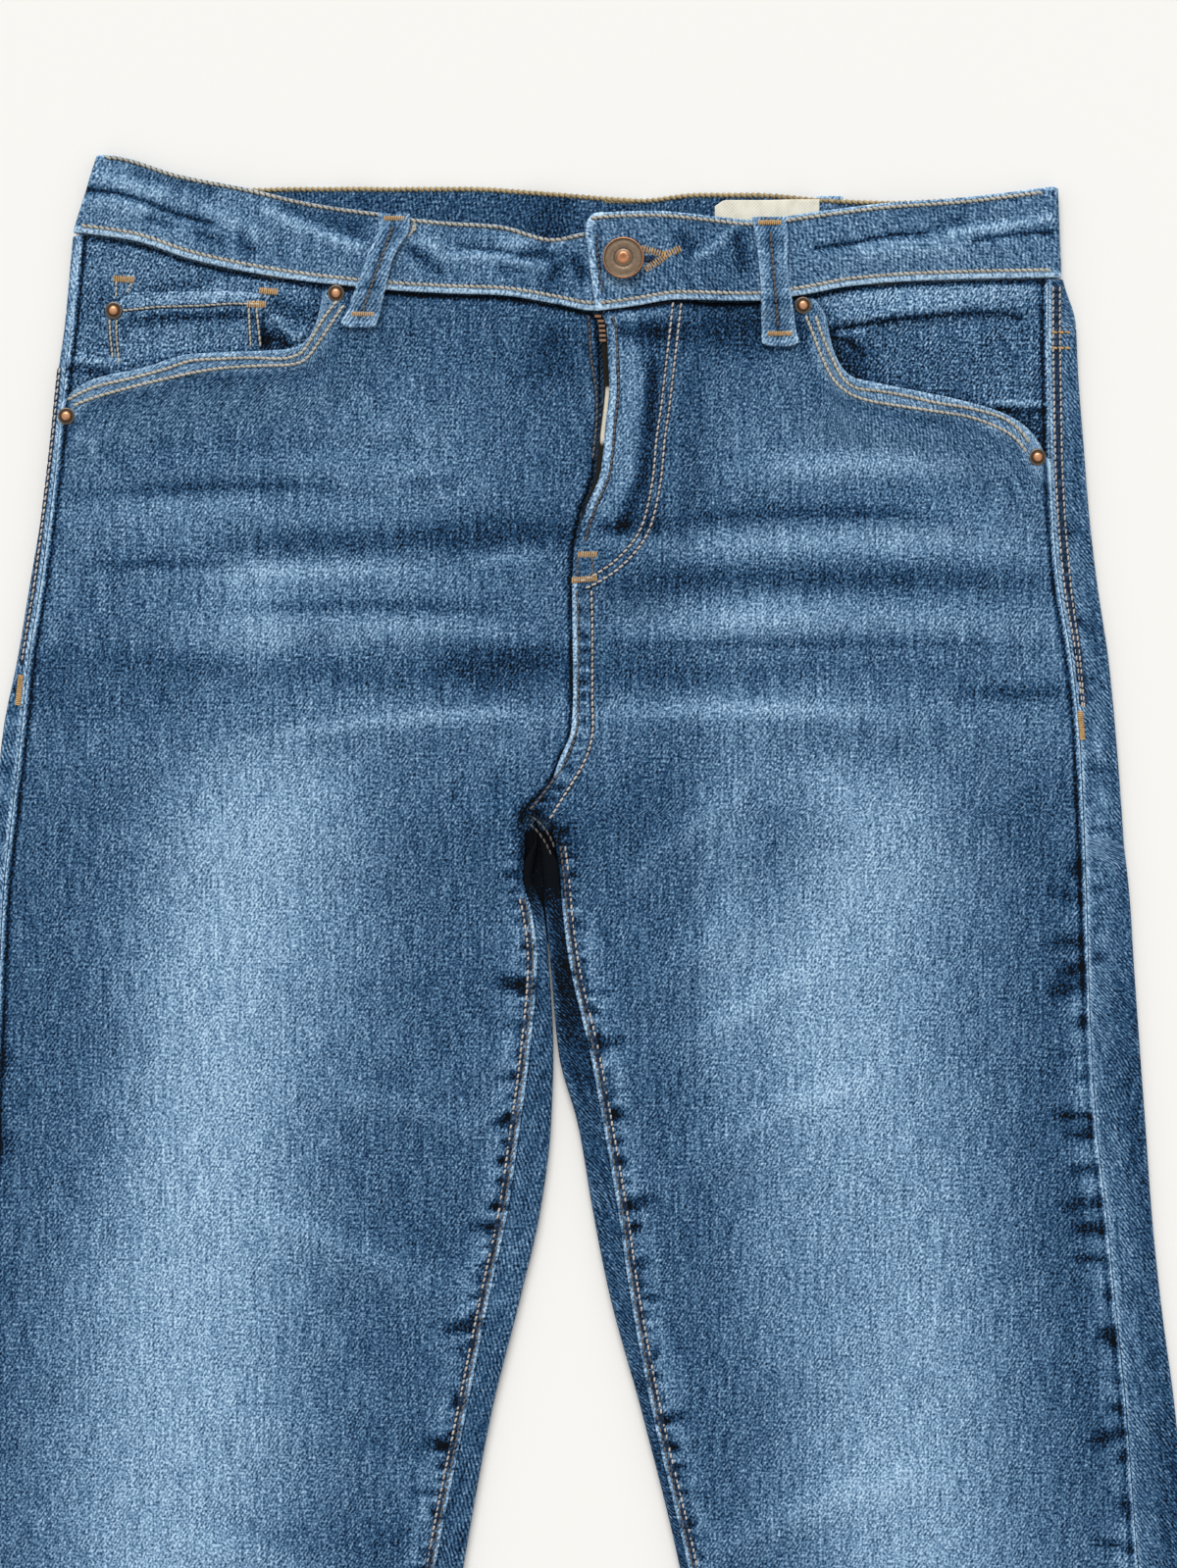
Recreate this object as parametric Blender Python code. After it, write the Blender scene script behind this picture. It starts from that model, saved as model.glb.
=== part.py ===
"""Slim fit jeans, laid flat on their back with the front up.

Everything is worked out in millimetres on the laid garment: x runs to the wearer's left, drop runs
down the garment from the top of the waistband at the centre front, and z is the height above the
surface. A point (x, drop, z) becomes world (x, -drop, z) in metres at the end. Each cloth piece is a
grid of points on the middle of its cloth, and wall() gives the grid its thickness.
"right" and "left" are the wearer's: the right leg lies at -x.
"""

import math

import bpy
import numpy as np

MM = 0.001

# Cloth, millimetres
DENIM = 1.2
BAND = 2.2
LOOP_STRAP = 1.4
TAPE = 1.0
HEM_WALL = 2.0
HEM_DEPTH = 14.0
HEM_STEP = 4.0
SEAM_GAP = 0.3
HEAD_GAP = 0.8
LAYER_GAP = 0.5
STACK = DENIM + 0.65
COIN_STACK = DENIM + 0.8

# How the flat garment stands up from the surface, millimetres
FOLD_HEIGHT = 4.2
FOLD_SPREAD = 20.0
WRAP_REACH = 12.0
WRAP_FLAT_PART = 0.2
WRAP_ARC_PART = 0.5
BRIDGE = 8.0
BRIDGE_SOFTENING = 3.0
BAND_RISE = 1.2
BAND_LAYERS = 1.7
BAND_RISE_SPREAD = 26.0
TAB_LIFT = 2.5
TAB_LIFT_END = 50.0
TAB_LIFT_RAMP = 24.0
LABEL_LIFT = 1.4
LABEL_LIFT_HALF = 26.0
LABEL_LIFT_RAMP = 14.0
FLY_LIFT = 3.7
FLY_LIFT_MARGIN = 4.0
FLY_LIFT_SIDE_RAMP = 20.0
FLY_LIFT_FOOT_RAMP = 22.0
ZIP_LEVEL = 1.5

# Levels down the garment, millimetres below the waist
HEM_DROP = 1014.0
CROTCH_DROP = 249.5
CROTCH_TURN_START = 253.0
CROTCH_TURN = 18.0
CROTCH_PUFF = 8.0
FLY_END_DROP = 150.0
FLY_GAP_DROP = 100.0
FLY_GAP = 3.4
YOKE_SIDE_DROP = {"right": 41.0, "left": 47.5}
YOKE_CENTRE_DROP = 86.0
HEM_TILT = 0.11
HEM_TILT_START = 700.0
HEM_MIDDLE = 196.0
HALF_HIP = 205.0

# Across each leg: outer and inner fold, side seam and inseam on the front
LEG_COLUMNS = ("drop", "outer", "side_seam", "inner", "inseam")
RIGHT_LEG = (
    (-30, -200, -197, -17.5, -22.2),
    (2, -209, -206, -17.5, -22.2),
    (16, -210.5, -207.5, -17.5, -22.2),
    (48, -213.5, -210.5, -17.5, -22.2),
    (64, -215.8, -212.5, -17.5, -22.2),
    (100, -219.5, -216.2, -17.5, -22.2),
    (125, -223, -219.2, -17.5, -22.2),
    (155, -228, -223.2, -17.5, -22.2),
    (185, -233, -228, -17.5, -22.2),
    (215, -239, -231.2, -17.5, -22.2),
    (250, -242.5, -235, -17.5, -22.2),
    (262, -243.3, -236.4, -16.2, -21.4),
    (276, -244.2, -238, -18.4, -22.3),
    (290, -245, -239, -13.8, -18.6),
    (310, -246, -240, -11.6, -16.3),
    (350, -248.5, -241.5, -9.6, -19.5),
    (380, -250, -242.5, -10.6, -23.5),
    (415, -252, -244.5, -15, -28.5),
    (450, -254, -246, -23, -36),
    (500, -257, -248.5, -35.5, -46),
    (560, -260, -251.5, -46.5, -58),
    (640, -262.5, -254, -60, -70),
    (720, -265.5, -257.5, -73, -82),
    (800, -268.5, -261, -85, -93),
    (900, -273, -266.5, -99.5, -106),
    (1014, -278.5, -273, -113.5, -119),
)
LEFT_LEG = (
    (-30, 200.5, 195, -17.2, -12),
    (12, 201.5, 196, -17.2, -12),
    (26, 202.5, 196.2, -17.2, -12),
    (46, 208, 196.2, -17.2, -12),
    (64, 208.8, 196.4, -17.2, -12),
    (100, 211.5, 197, -17.2, -12),
    (125, 213.5, 198.2, -17.2, -12),
    (155, 217, 201, -17.2, -12),
    (185, 221.5, 206, -17.2, -12),
    (215, 224.5, 209.2, -17.2, -12),
    (250, 227.2, 211, -17.2, -12),
    (262, 228, 211.5, -15.6, -9),
    (276, 229.6, 212, -14.2, -7.2),
    (290, 230.8, 212.5, -13.2, -6),
    (310, 232, 213, -11.3, -3.5),
    (350, 234.8, 214.5, -7.6, 5.5),
    (380, 237, 216.5, 0.5, 11),
    (415, 239.5, 220.5, 6.5, 17),
    (450, 243, 224, 13.5, 22),
    (500, 249.5, 229, 27.2, 31.5),
    (560, 255, 233.5, 42, 45.5),
    (640, 260.5, 240.5, 57.5, 61.5),
    (720, 265, 247, 71.5, 76.5),
    (800, 269, 253.5, 84.5, 90.5),
    (900, 273.5, 261, 99, 105),
    (1014, 279, 269.5, 113.5, 119.5),
)

# The centre front: the fly's free edge down to its end, then the rise seam to the crotch
CENTRE_COLUMNS = ("drop", "x")
CENTRE_FRONT = (
    (-30, 3),
    (5, 3),
    (29.5, 6),
    (41, 9.5),
    (46, 12),
    (63, 13),
    (73, 13.4),
    (86.5, 12),
    (107, 10),
    (123.5, 3.5),
    (139.5, -1),
    (155, -2),
    (200, -1.6),
    (214.5, -2.4),
    (226.5, -7),
    (238.5, -12),
    (249.5, -21.5),
    (300, -21.5),
)
CENTRE_BACK = ((-30, 0), (30, 0), (150, -3), (240, -13), (249.5, -17.2), (300, -17.2))

# Waistband edges, as drop against x: the two fronts and the back
EDGE_COLUMNS = ("x", "drop")
BAND_TOP_RIGHT = (
    (-200, -24.5),
    (-192, -24),
    (-166.5, -16.5),
    (-140, -11),
    (-106.5, -3.5),
    (-81.5, 0),
    (-65, 2.5),
    (-32, 5),
    (-10, 10.5),
    (3.5, 8),
    (48, 4),
)
BAND_FOOT_RIGHT = (
    (-210, 7.5),
    (-185, 11),
    (-160, 19),
    (-133.5, 25),
    (-107, 29),
    (-76.5, 32),
    (-56.5, 33),
    (-32, 34),
    (-7, 38),
    (6.5, 40.5),
    (48, 34),
)
BAND_TOP_LEFT = (
    (3, 2.5),
    (8, 0.4),
    (32, -0.5),
    (57.5, 1.5),
    (72.5, 3),
    (101, -0.5),
    (127, -4),
    (159, -6.5),
    (200.5, -11.5),
)
BAND_FOOT_LEFT = (
    (8, 41),
    (12, 40.5),
    (23.5, 39),
    (43.5, 36),
    (74.5, 36.5),
    (91.5, 34.5),
    (116.5, 30),
    (142, 28),
    (167.5, 27),
    (202, 26.5),
)
BAND_TOP_BACK = (
    (-200, -24.5),
    (-170, -14),
    (-140, -11),
    (-44, -11.5),
    (-10, -9),
    (27, -6.5),
    (50.5, -9),
    (74.5, -9),
    (101, -6.5),
    (127, -5.5),
    (160, -7),
    (200.5, -11.5),
)
BAND_FOOT_BACK = (
    (-210, 7.5),
    (-185, 13),
    (-160, 20),
    (-133, 25),
    (-80, 28),
    (0, 29.5),
    (80, 29),
    (160, 28),
    (202, 26.5),
)

# Hand pocket openings from the waistband to the side seam, as x and drop
OPENING_RIGHT = (
    (-105.8, 35),
    (-108.5, 46),
    (-113.5, 54),
    (-123.5, 57),
    (-148.5, 58),
    (-165, 59.5),
    (-178.5, 64),
    (-198.5, 68.5),
    (-208, 73),
    (-214, 79),
)
OPENING_LEFT = (
    (99, 36),
    (103.5, 43),
    (106.5, 56.5),
    (113, 67),
    (125, 70.5),
    (142, 74),
    (159, 77.5),
    (176, 82.5),
    (188, 90),
    (197, 104),
)
FACING_UNDERLAP = 8.0
FACING_LIFT_MARGIN = 16.0
FACING_LIFT_RAMP = 16.0
FACING_SIDE_HEAD = {"right": 12.0, "left": 28.0}
COIN_UNDERLAP = 3.0
COIN_LIFT_MARGIN = 4.0
COIN_LIFT_SIDE_RAMP = 12.0
COIN_LIFT_FOOT_RAMP = 14.0

# Where each front panel's columns leave the waistband, and the first level row under the pocket
PANEL_TOP_RIGHT = (4, -4, -14, -28, -44, -62, -80, -95, -104)
PANEL_TOP_LEFT = (13, 18, 23, 29, 36, 48, 64, 80, 95)
LEVEL_ROW = {"right": 100.0, "left": 125.0}
COLUMN_CROWDING = 1.2
RULED_ROWS = 5
BACK_LEVEL_ROW = 112.0
BACK_RULED_ROWS = 4
YOKE_ROWS = 5

# Level rows of the panels, millimetres of drop
PANEL_ROWS = (
    100, 125, 147, 166, 187, 208, 230, 249.5, 253, 258, 262, 266, 271, 278, 288, 304, 330, 358, 400, 450,
    500, 560, 640, 740, 860, 996, 1000, 1014,
)

# The back's columns: so many round each fold, and between them shares of the flat width
WRAP_COLUMNS = 9
PANEL_SHARES = (0.05, 0.11, 0.32, 0.53, 0.72, 0.80, 0.90)
YOKE_SHARES = tuple(np.linspace(0.05, 0.95, 15))
SPREAD_INNER_END = 0.03
SPREAD_FLAT = (0.06, 0.94)
SPREAD_OUTER = (0.94, 0.97)

# The waistband's grid: its ends as x at the top and foot edges, and its columns and rows
BAND_ENDS = {
    "right_side": (-200.0, -210.0),
    "left_side": (200.5, 202.0),
    "tab": (3.0, 8.0),
    "underlap": (46.0, 46.0),
}
BAND_FRONT_SHARES = (1, 0.97, 0.93, 0.88, 0.82, 0.75, 0.68, 0.61, 0.54, 0.47, 0.4, 0.33, 0.26, 0.2, 0.13, 0.06, 0)
BAND_BACK_COUNT = 27
BAND_ARC_COUNT = 7
BAND_ROWS = 5

# Soft folds that stand on the front, a row each: middle, half length, half width, turn from
# the x axis, bow down at the ends, and height
FOLD_COLUMNS = ("x", "drop", "half_length", "half_width", "turn", "bow", "height")
FRONT_FOLDS = (
    (-135, 147, 75, 13, 0, 5, -0.6),
    (-115, 167, 80, 13, 2, 6, 0.6),
    (-95, 208, 95, 14, -3, 7, 0.7),
    (112, 146, 80, 13, 0, 6, -0.6),
    (118, 166, 78, 13, -2, 6, 0.6),
    (110, 207, 95, 14, 3, 7, 0.7),
    (22, 92, 36, 4.5, 90, 0, 0.9),
    (30.5, 88, 28, 4, 90, 0, -0.8),
    (30, 52, 11, 6, 0, 0, -0.6),
    (-14, 257, 10, 10, 0, 0, -1.5),
    (30, 322, 42, 8, -42, 4, 0.8),
    (58, 305, 45, 9, -38, 4, 0.5),
    (22, 352, 24, 6, -30, 2, 0.6),
    (46, 400, 34, 8, -20, 2, 0.5),
    (-44, 356, 28, 8, -14, 2, 0.6),
    (-60, 420, 40, 9, 24, 3, -0.5),
    (-80, 442, 46, 10, 22, 3, 0.6),
    (-108, 512, 48, 11, 18, 3, 0.5),
    (110, 470, 46, 11, -16, 3, 0.5),
    (-170, 610, 60, 13, 10, 4, 0.8),
    (160, 625, 62, 13, -8, 4, 0.8),
    (-150, 655, 54, 12, -8, 4, 0.6),
    (190, 668, 50, 12, 10, 4, 0.6),
)
FACING_FOLDS = (
    (-119, 43, 15, 4.5, 62, 3, 1.3),
    (-126, 45, 12, 3.5, 68, 0, -0.4),
    (-204, 62, 18, 4, 5, 0, 0.6),
    (138, 48, 44, 4, -8, -3, -0.45),
    (145, 38, 40, 5, -4, -3, 0.7),
    (184, 78, 15, 3.5, 8, 0, 0.6),
)
BAND_FOLDS = (
    (-62, 10, 10, 5, 70, 0, 0.5),
    (-50, 22, 12, 5, 60, 0, -0.3),
    (-191, -9, 12, 5, 40, 0, 0.5),
    (140, 14, 44, 5, -8, 0, 0.7),
    (178, 4, 22, 4, -4, 0, -0.4),
)

# Back pockets and belt loops on the hidden side, a row each
BACK_POCKET_COLUMNS = ("name", "x", "drop", "width", "depth", "point")
BACK_POCKETS = (
    ("back_pocket_right", -97, 94, 122, 136, 18),
    ("back_pocket_left", 93, 94, 122, 136, 18),
)
LOOP_COLUMNS = ("name", "x", "top", "foot")
BACK_LOOPS = (
    ("belt_loop_back_right", -106, -11.5, 39),
    ("belt_loop_back_centre", 0, -9.5, 40),
    ("belt_loop_back_left", 105.5, -8, 39),
)
LOOP_WIDTH = 11.0
BACK_POCKET_TAPER = 0.1

# How the cloth above them rises: all of it within the margin, less and less over the ramp
UNDER_COLUMNS = ("margin", "ramp", "rise")
POCKET_UNDER = (13.0, 15.0, DENIM + SEAM_GAP)
LOOP_UNDER = (9.0, 13.0, LOOP_STRAP + SEAM_GAP)

# Front belt loops, as the two ends of each long edge
FRONT_LOOP_COLUMNS = ("name", "head_left", "head_right", "head_drop", "foot_left", "foot_right", "foot_drop")
FRONT_LOOPS = (
    ("belt_loop_front_right", -82.5, -69.5, 0.6, -96.5, -83, 45.5),
    ("belt_loop_front_left", 72.5, 86.5, 2.2, 77.5, 91.5, 54),
)
LOOP_BULGE = 0.9
LOOP_LEAVES = (2.0, 8.0)

# Hardware
RIVET_COLUMNS = ("name", "x", "drop", "on")
RIVETS = (
    ("rivet_pocket_right_top", -100, 33.5, "panel"),
    ("rivet_pocket_right_side", -212, 84.5, "panel"),
    ("rivet_coin_pocket", -192.5, 40.5, "coin"),
    ("rivet_pocket_left_top", 94, 38.5, "panel"),
    ("rivet_pocket_left_side", 191.5, 101.5, "panel"),
)
RIVET_PLATE = 3.2
RIVET_SEGMENTS = 14
BUTTON_PLACE = (19.5, 19.5)
BUTTON_SEAT = 0.65
BUTTON_TILT = 4.0
BUTTON_SEGMENTS = 28

# Turned outlines, as radius and height from the foot up to the top
RIVET_OUTLINE = ((3.2, 0), (3.2, 0.35), (2.2, 0.6), (1.9, 0.9), (1.4, 1.45), (0.7, 1.6))
BUTTON_OUTLINE = (
    (3.4, 0),
    (3.4, 1.1),
    (7.6, 1.3),
    (8.5, 1.9),
    (8.5, 2.9),
    (8.1, 3.6),
    (7.3, 3.9),
    (6.5, 3.5),
    (6.3, 3),
    (3.6, 2.9),
    (3.2, 3.3),
    (2.4, 3.8),
    (1.2, 4),
)

# Coin pocket, label, fly pieces
COIN_EDGES = {"outer": -194.0, "inner": -131.0, "top": 32.5}
LABEL_EDGES = {"left": 57.5, "right": 101.0, "top": -6.0, "foot": 11.0}
SHIELD_WIDTH = 26.0
SHIELD_INSET = 1.2
SHIELD_HEAD_X = 20.0
SHIELD_FOOT = 144.0
SHIELD_TAPER = 0.35
SHIELD_TAPER_START = 110.0
ZIP_WIDTH = 12.0
ZIP_FOOT = 138.0
ZIP_HEAD_INSET = 1.5

# Colours are linear, with roughness and metallic value
MATERIALS = {
    "denim_front": ((0.085, 0.19, 0.34), 0.86, 0.0),
    "denim_back": ((0.045, 0.11, 0.21), 0.88, 0.0),
    "denim_trim": ((0.06, 0.14, 0.26), 0.87, 0.0),
    "tape": ((0.72, 0.68, 0.58), 0.8, 0.0),
    "copper": ((0.36, 0.16, 0.08), 0.38, 0.9),
}


def columns(table, names):
    """The table's columns as arrays, by name."""
    return dict(zip(names, np.array(table, float).T))


def smooth(table, names, wanted, at):
    """A monotone cubic through one column of a table, against the table's first column."""
    data = columns(table, names)
    xs = data[names[0]]
    ys = data[wanted]
    step = np.diff(xs)
    rise = np.diff(ys) / step
    slope = np.zeros_like(ys)
    same = rise[:-1] * rise[1:] > 0
    pair = np.where(same, rise[:-1] + rise[1:], 1.0)
    slope[1:-1] = np.where(same, 2 * rise[:-1] * rise[1:] / pair, 0.0)
    slope[0] = rise[0]
    slope[-1] = rise[-1]
    at = np.clip(at, xs[0], xs[-1])
    k = np.clip(np.searchsorted(xs, at, side="right") - 1, 0, len(step) - 1)
    h = step[k]
    t = (at - xs[k]) / h
    start = (1 + 2 * t) * (1 - t) ** 2 * ys[k] + t * (1 - t) ** 2 * h * slope[k]
    end = t * t * (3 - 2 * t) * ys[k + 1] - t * t * (1 - t) * h * slope[k + 1]
    return start + end


def ease(t):
    """0 below 0, 1 above 1, and a smooth step between."""
    t = np.clip(t, 0.0, 1.0)
    return t * t * (3 - 2 * t)


def lerp(a, b, t):
    """The point a share t of the way from a to b."""
    return a + (b - a) * t


def leg(side, name, drop):
    """One column of a leg's table at the drop."""
    return smooth(RIGHT_LEG if side == "right" else LEFT_LEG, LEG_COLUMNS, name, drop)


def centre_front(drop):
    """x of the fly edge and the rise seam."""
    return smooth(CENTRE_FRONT, CENTRE_COLUMNS, "x", drop)


def edge(table, x):
    """Drop of a waistband edge at x."""
    return smooth(table, EDGE_COLUMNS, "drop", x)


def band_foot_front(x):
    """Drop of the waistband's lower edge on the front."""
    right = edge(BAND_FOOT_RIGHT, x)
    left = edge(BAND_FOOT_LEFT, x)
    return np.where(x < 8.0, right, left)


def way(side):
    """The direction from the middle of the garment to this side."""
    return -1.0 if side == "right" else 1.0


def wall_at(drop):
    """Cloth thickness: the hem is folded double."""
    return DENIM + (HEM_WALL - DENIM) * ease((drop - HEM_DROP + HEM_DEPTH) / HEM_STEP + 1)


def folds(table, x, drop):
    """Sum of the table's ridges: each is a Gaussian across a bowed line that dies out at its ends."""
    total = np.zeros(np.broadcast(x, drop).shape)
    for row in table:
        fold = dict(zip(FOLD_COLUMNS, row))
        turn = math.radians(fold["turn"])
        dx = x - fold["x"]
        dd = drop - fold["drop"]
        along = (dx * math.cos(turn) + dd * math.sin(turn)) / fold["half_length"]
        across = dd * math.cos(turn) - dx * math.sin(turn) - fold["bow"] * along**2
        total = total + fold["height"] * np.exp(-((across / fold["half_width"]) ** 2) - along**4)
    return total


def box_distance(x, drop, middle_x, middle_drop, width, depth):
    """Distance outside an upright rectangle."""
    dx = np.maximum(np.abs(x - middle_x) - width / 2, 0)
    dd = np.maximum(np.abs(drop - middle_drop) - depth / 2, 0)
    return np.hypot(dx, dd)


def rise_over(away, row, beyond):
    """Rise of the cloth at a distance from a piece that lies under it."""
    shape = dict(zip(UNDER_COLUMNS, row))
    ramp = shape["ramp"] + BRIDGE_SOFTENING * beyond
    return shape["rise"] * (1 - ease((away - shape["margin"] - beyond) / ramp))


def under(x, drop, beyond=0.0):
    """How far the underside rises over the back pockets and the back belt loops.

    beyond widens the raised places and softens their edges, for a layer that bridges over them.
    """
    total = np.zeros(np.broadcast(x, drop).shape)
    for row in BACK_POCKETS:
        pocket = dict(zip(BACK_POCKET_COLUMNS, row))
        middle = pocket["drop"] + pocket["depth"] / 2
        away = box_distance(x, drop, pocket["x"], middle, pocket["width"], pocket["depth"])
        total = np.maximum(total, rise_over(away, POCKET_UNDER, beyond))
    for row in BACK_LOOPS:
        loop = dict(zip(LOOP_COLUMNS, row))
        middle = (loop["top"] + loop["foot"]) / 2
        away = box_distance(x, drop, loop["x"], middle, LOOP_WIDTH, loop["foot"] - loop["top"])
        total = np.maximum(total, rise_over(away, LOOP_UNDER, beyond))
    return total


def crotch_share(drop):
    """0 above the crotch, 1 below it: how far the back wraps up to the inseam."""
    return ease((drop - CROTCH_TURN_START) / CROTCH_TURN)


def puff(x, drop):
    """Share of the fold height left at x: full at the folds of the legs, none far from them."""
    total = np.zeros(np.broadcast(x, drop).shape)
    for side in ("right", "left"):
        inside = DENIM / 2 + FOLD_HEIGHT / 2
        outer = leg(side, "outer", drop) - way(side) * inside
        inner = leg(side, "inner", drop) + way(side) * inside
        outer_share = np.exp(-(((x - outer) / FOLD_SPREAD) ** 2))
        opened = ease((drop - CROTCH_DROP + CROTCH_PUFF) / CROTCH_PUFF)
        inner_share = opened * np.exp(-(((x - inner) / FOLD_SPREAD) ** 2))
        inner_share = inner_share * (way(side) * (x - inner) > -inside)
        total = np.maximum(total, np.maximum(outer_share, inner_share))
    return total


def ground_z(x, drop):
    """Middle of the underside's cloth."""
    return wall_at(drop) / 2 + under(x, drop)


def top_z(x, drop, height=1.0):
    """Middle of the front layer's cloth, before anything that lies under it lifts it.

    height scales the soft folds, which a piece hidden under the front doesn't follow.
    """
    flat = wall_at(drop) + LAYER_GAP
    rise = BAND_RISE * np.exp(-((np.maximum(drop - band_foot_front(x), 0) / BAND_RISE_SPREAD) ** 2))
    base = flat + np.maximum(rise, (FOLD_HEIGHT - flat) * puff(x, drop))
    layer = under(x, drop, BRIDGE) + np.maximum(base + height * folds(FRONT_FOLDS, x, drop), flat)
    return wall_at(drop) / 2 + layer


def opening_distance(table, x, drop):
    """Distance to a pocket opening's line."""
    points = np.array(table, float)
    away = np.full(np.broadcast(x, drop).shape, np.inf)
    for (ax, ad), (bx, bd) in zip(points[:-1], points[1:]):
        length = math.hypot(bx - ax, bd - ad)
        share = np.clip(((x - ax) * (bx - ax) + (drop - ad) * (bd - ad)) / length**2, 0, 1)
        away = np.minimum(away, np.hypot(x - lerp(ax, bx, share), drop - lerp(ad, bd, share)))
    return away


def facing_z(x, drop):
    """Middle of a pocket facing's cloth."""
    return top_z(x, drop) + folds(FACING_FOLDS, x, drop)


def panel_z(side, x, drop):
    """Middle of a front panel's cloth: lifted by the facing, the coin pocket and the fly behind it."""
    table = OPENING_RIGHT if side == "right" else OPENING_LEFT
    away = opening_distance(table, x, drop)
    near = 1 - ease((away - FACING_LIFT_MARGIN) / FACING_LIFT_RAMP)
    lift = STACK * near
    if side == "right":
        middle = (COIN_EDGES["outer"] + COIN_EDGES["inner"]) / 2
        half = (COIN_EDGES["inner"] - COIN_EDGES["outer"]) / 2
        beside = 1 - ease((np.abs(x - middle) - half - COIN_LIFT_MARGIN) / COIN_LIFT_SIDE_RAMP)
        above = 1 - ease((away - COIN_UNDERLAP - COIN_LIFT_MARGIN) / COIN_LIFT_FOOT_RAMP)
        lift = lift + COIN_STACK * beside * above
    else:
        past = x - centre_front(drop) - SHIELD_WIDTH - FLY_LIFT_MARGIN
        across = 1 - ease(past / FLY_LIFT_SIDE_RAMP)
        along = 1 - ease((drop - FLY_END_DROP) / FLY_LIFT_FOOT_RAMP)
        lift = lift + FLY_LIFT * across * along
    wave = np.where(near > 0, folds(FACING_FOLDS, x, drop) * near, 0.0)
    return top_z(x, drop) + lift + wave


def to_world(x, drop, z):
    """World metres from the laid garment's millimetres, with the hems square to the legs."""
    lower = ease((drop - HEM_TILT_START) / (HEM_DROP - HEM_TILT_START))
    tilt = HEM_TILT * (HEM_MIDDLE - np.abs(x)) * lower
    return np.stack([x, -(drop + tilt), z], axis=-1) * MM


def grid_normals(points):
    """Unit normals of a grid of points, from central differences."""
    along = np.gradient(points, axis=0)
    across = np.gradient(points, axis=1)
    normal = np.cross(across, along)
    return normal / np.maximum(np.linalg.norm(normal, axis=-1, keepdims=True), 1e-12)


def grid_faces(rows, cols, start, flip):
    """Triangles of a grid whose points are numbered row by row from start, all cut the same way."""
    corner = start + np.arange(rows - 1)[:, None] * cols + np.arange(cols - 1)[None, :]
    first = np.stack([corner, corner + 1, corner + cols + 1], axis=-1).reshape(-1, 3)
    second = np.stack([corner, corner + cols + 1, corner + cols], axis=-1).reshape(-1, 3)
    faces = np.concatenate([first, second])
    return faces[:, ::-1] if flip else faces


def rim_loop(rows, cols):
    """The grid's border, once round."""
    top = np.arange(cols)
    right = np.arange(1, rows) * cols + cols - 1
    foot = (rows - 1) * cols + np.arange(cols - 2, -1, -1)
    left = np.arange(rows - 2, 0, -1) * cols
    return np.concatenate([top, right, foot, left])


def add_object(name, vertices, faces, material):
    """A mesh object with its own copy of a named finish; its faces are turned to point out."""
    mesh = bpy.data.meshes.new(name)
    corners = vertices[np.array([face[:3] for face in faces])]
    far = vertices[np.array([face[-1] for face in faces])]
    first = np.einsum("ij,ij->i", corners[:, 0], np.cross(corners[:, 1], corners[:, 2]))
    second = np.einsum("ij,ij->i", corners[:, 0], np.cross(corners[:, 2], far))
    if first.sum() + second.sum() < 0:
        faces = [tuple(face)[::-1] for face in faces]
    mesh.from_pydata(vertices.tolist(), [], [tuple(map(int, face)) for face in faces])
    mesh.update()
    thing = bpy.data.objects.new(name, mesh)
    bpy.context.collection.objects.link(thing)
    colour, roughness, metallic = MATERIALS[material]
    finish = bpy.data.materials.new(name)
    finish.use_nodes = True
    shader = finish.node_tree.nodes["Principled BSDF"]
    shader.inputs["Base Color"].default_value = (*colour, 1.0)
    shader.inputs["Roughness"].default_value = roughness
    shader.inputs["Metallic"].default_value = metallic
    mesh.materials.append(finish)
    return thing


def wall(name, x, drop, z, thickness, material):
    """A closed sheet: the grid moved out by half its thickness, moved in, and joined at the rim."""
    points = to_world(x, drop, z)
    rows, cols = points.shape[:2]
    half = np.broadcast_to(np.asarray(thickness, float) * MM / 2, (rows, cols))[..., None]
    normal = grid_normals(points)
    vertices = np.concatenate([(points + normal * half).reshape(-1, 3), (points - normal * half).reshape(-1, 3)])
    count = rows * cols
    loop = rim_loop(rows, cols)
    after = np.roll(loop, -1)
    rim = [
        np.stack([loop, loop + count, after + count], axis=-1),
        np.stack([loop, after + count, after], axis=-1),
    ]
    faces = np.concatenate([grid_faces(rows, cols, 0, False), grid_faces(rows, cols, count, True), *rim])
    return add_object(name, vertices, faces, material)


def grid(rows, cols):
    """Two arrays of shares, down and across, for a grid."""
    return np.meshgrid(np.linspace(0, 1, rows), np.linspace(0, 1, cols), indexing="ij")


def fly_gap(drop):
    """How far the right front stays back from the fly's free edge, which shows the zip."""
    return lerp(FLY_GAP, SEAM_GAP / 2, ease((drop - FLY_GAP_DROP) / (FLY_END_DROP - FLY_GAP_DROP)))


def front_inner(side, drop):
    """x of a front panel's inner edge: the fly or rise seam, then the inseam."""
    if side == "right":
        above = centre_front(drop) - fly_gap(drop)
    else:
        above = centre_front(drop) + SEAM_GAP / 2
    below = leg(side, "inseam", drop) + way(side) * SEAM_GAP / 2
    if side == "right":
        return np.where(drop <= CROTCH_DROP, above, below)
    return lerp(above, below, ease((drop - CROTCH_DROP) / (CROTCH_TURN_START - CROTCH_DROP)))


def front_outer(side, drop):
    """x of a front panel's edge at the side seam."""
    return leg(side, "side_seam", drop) - way(side) * SEAM_GAP / 2


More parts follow.
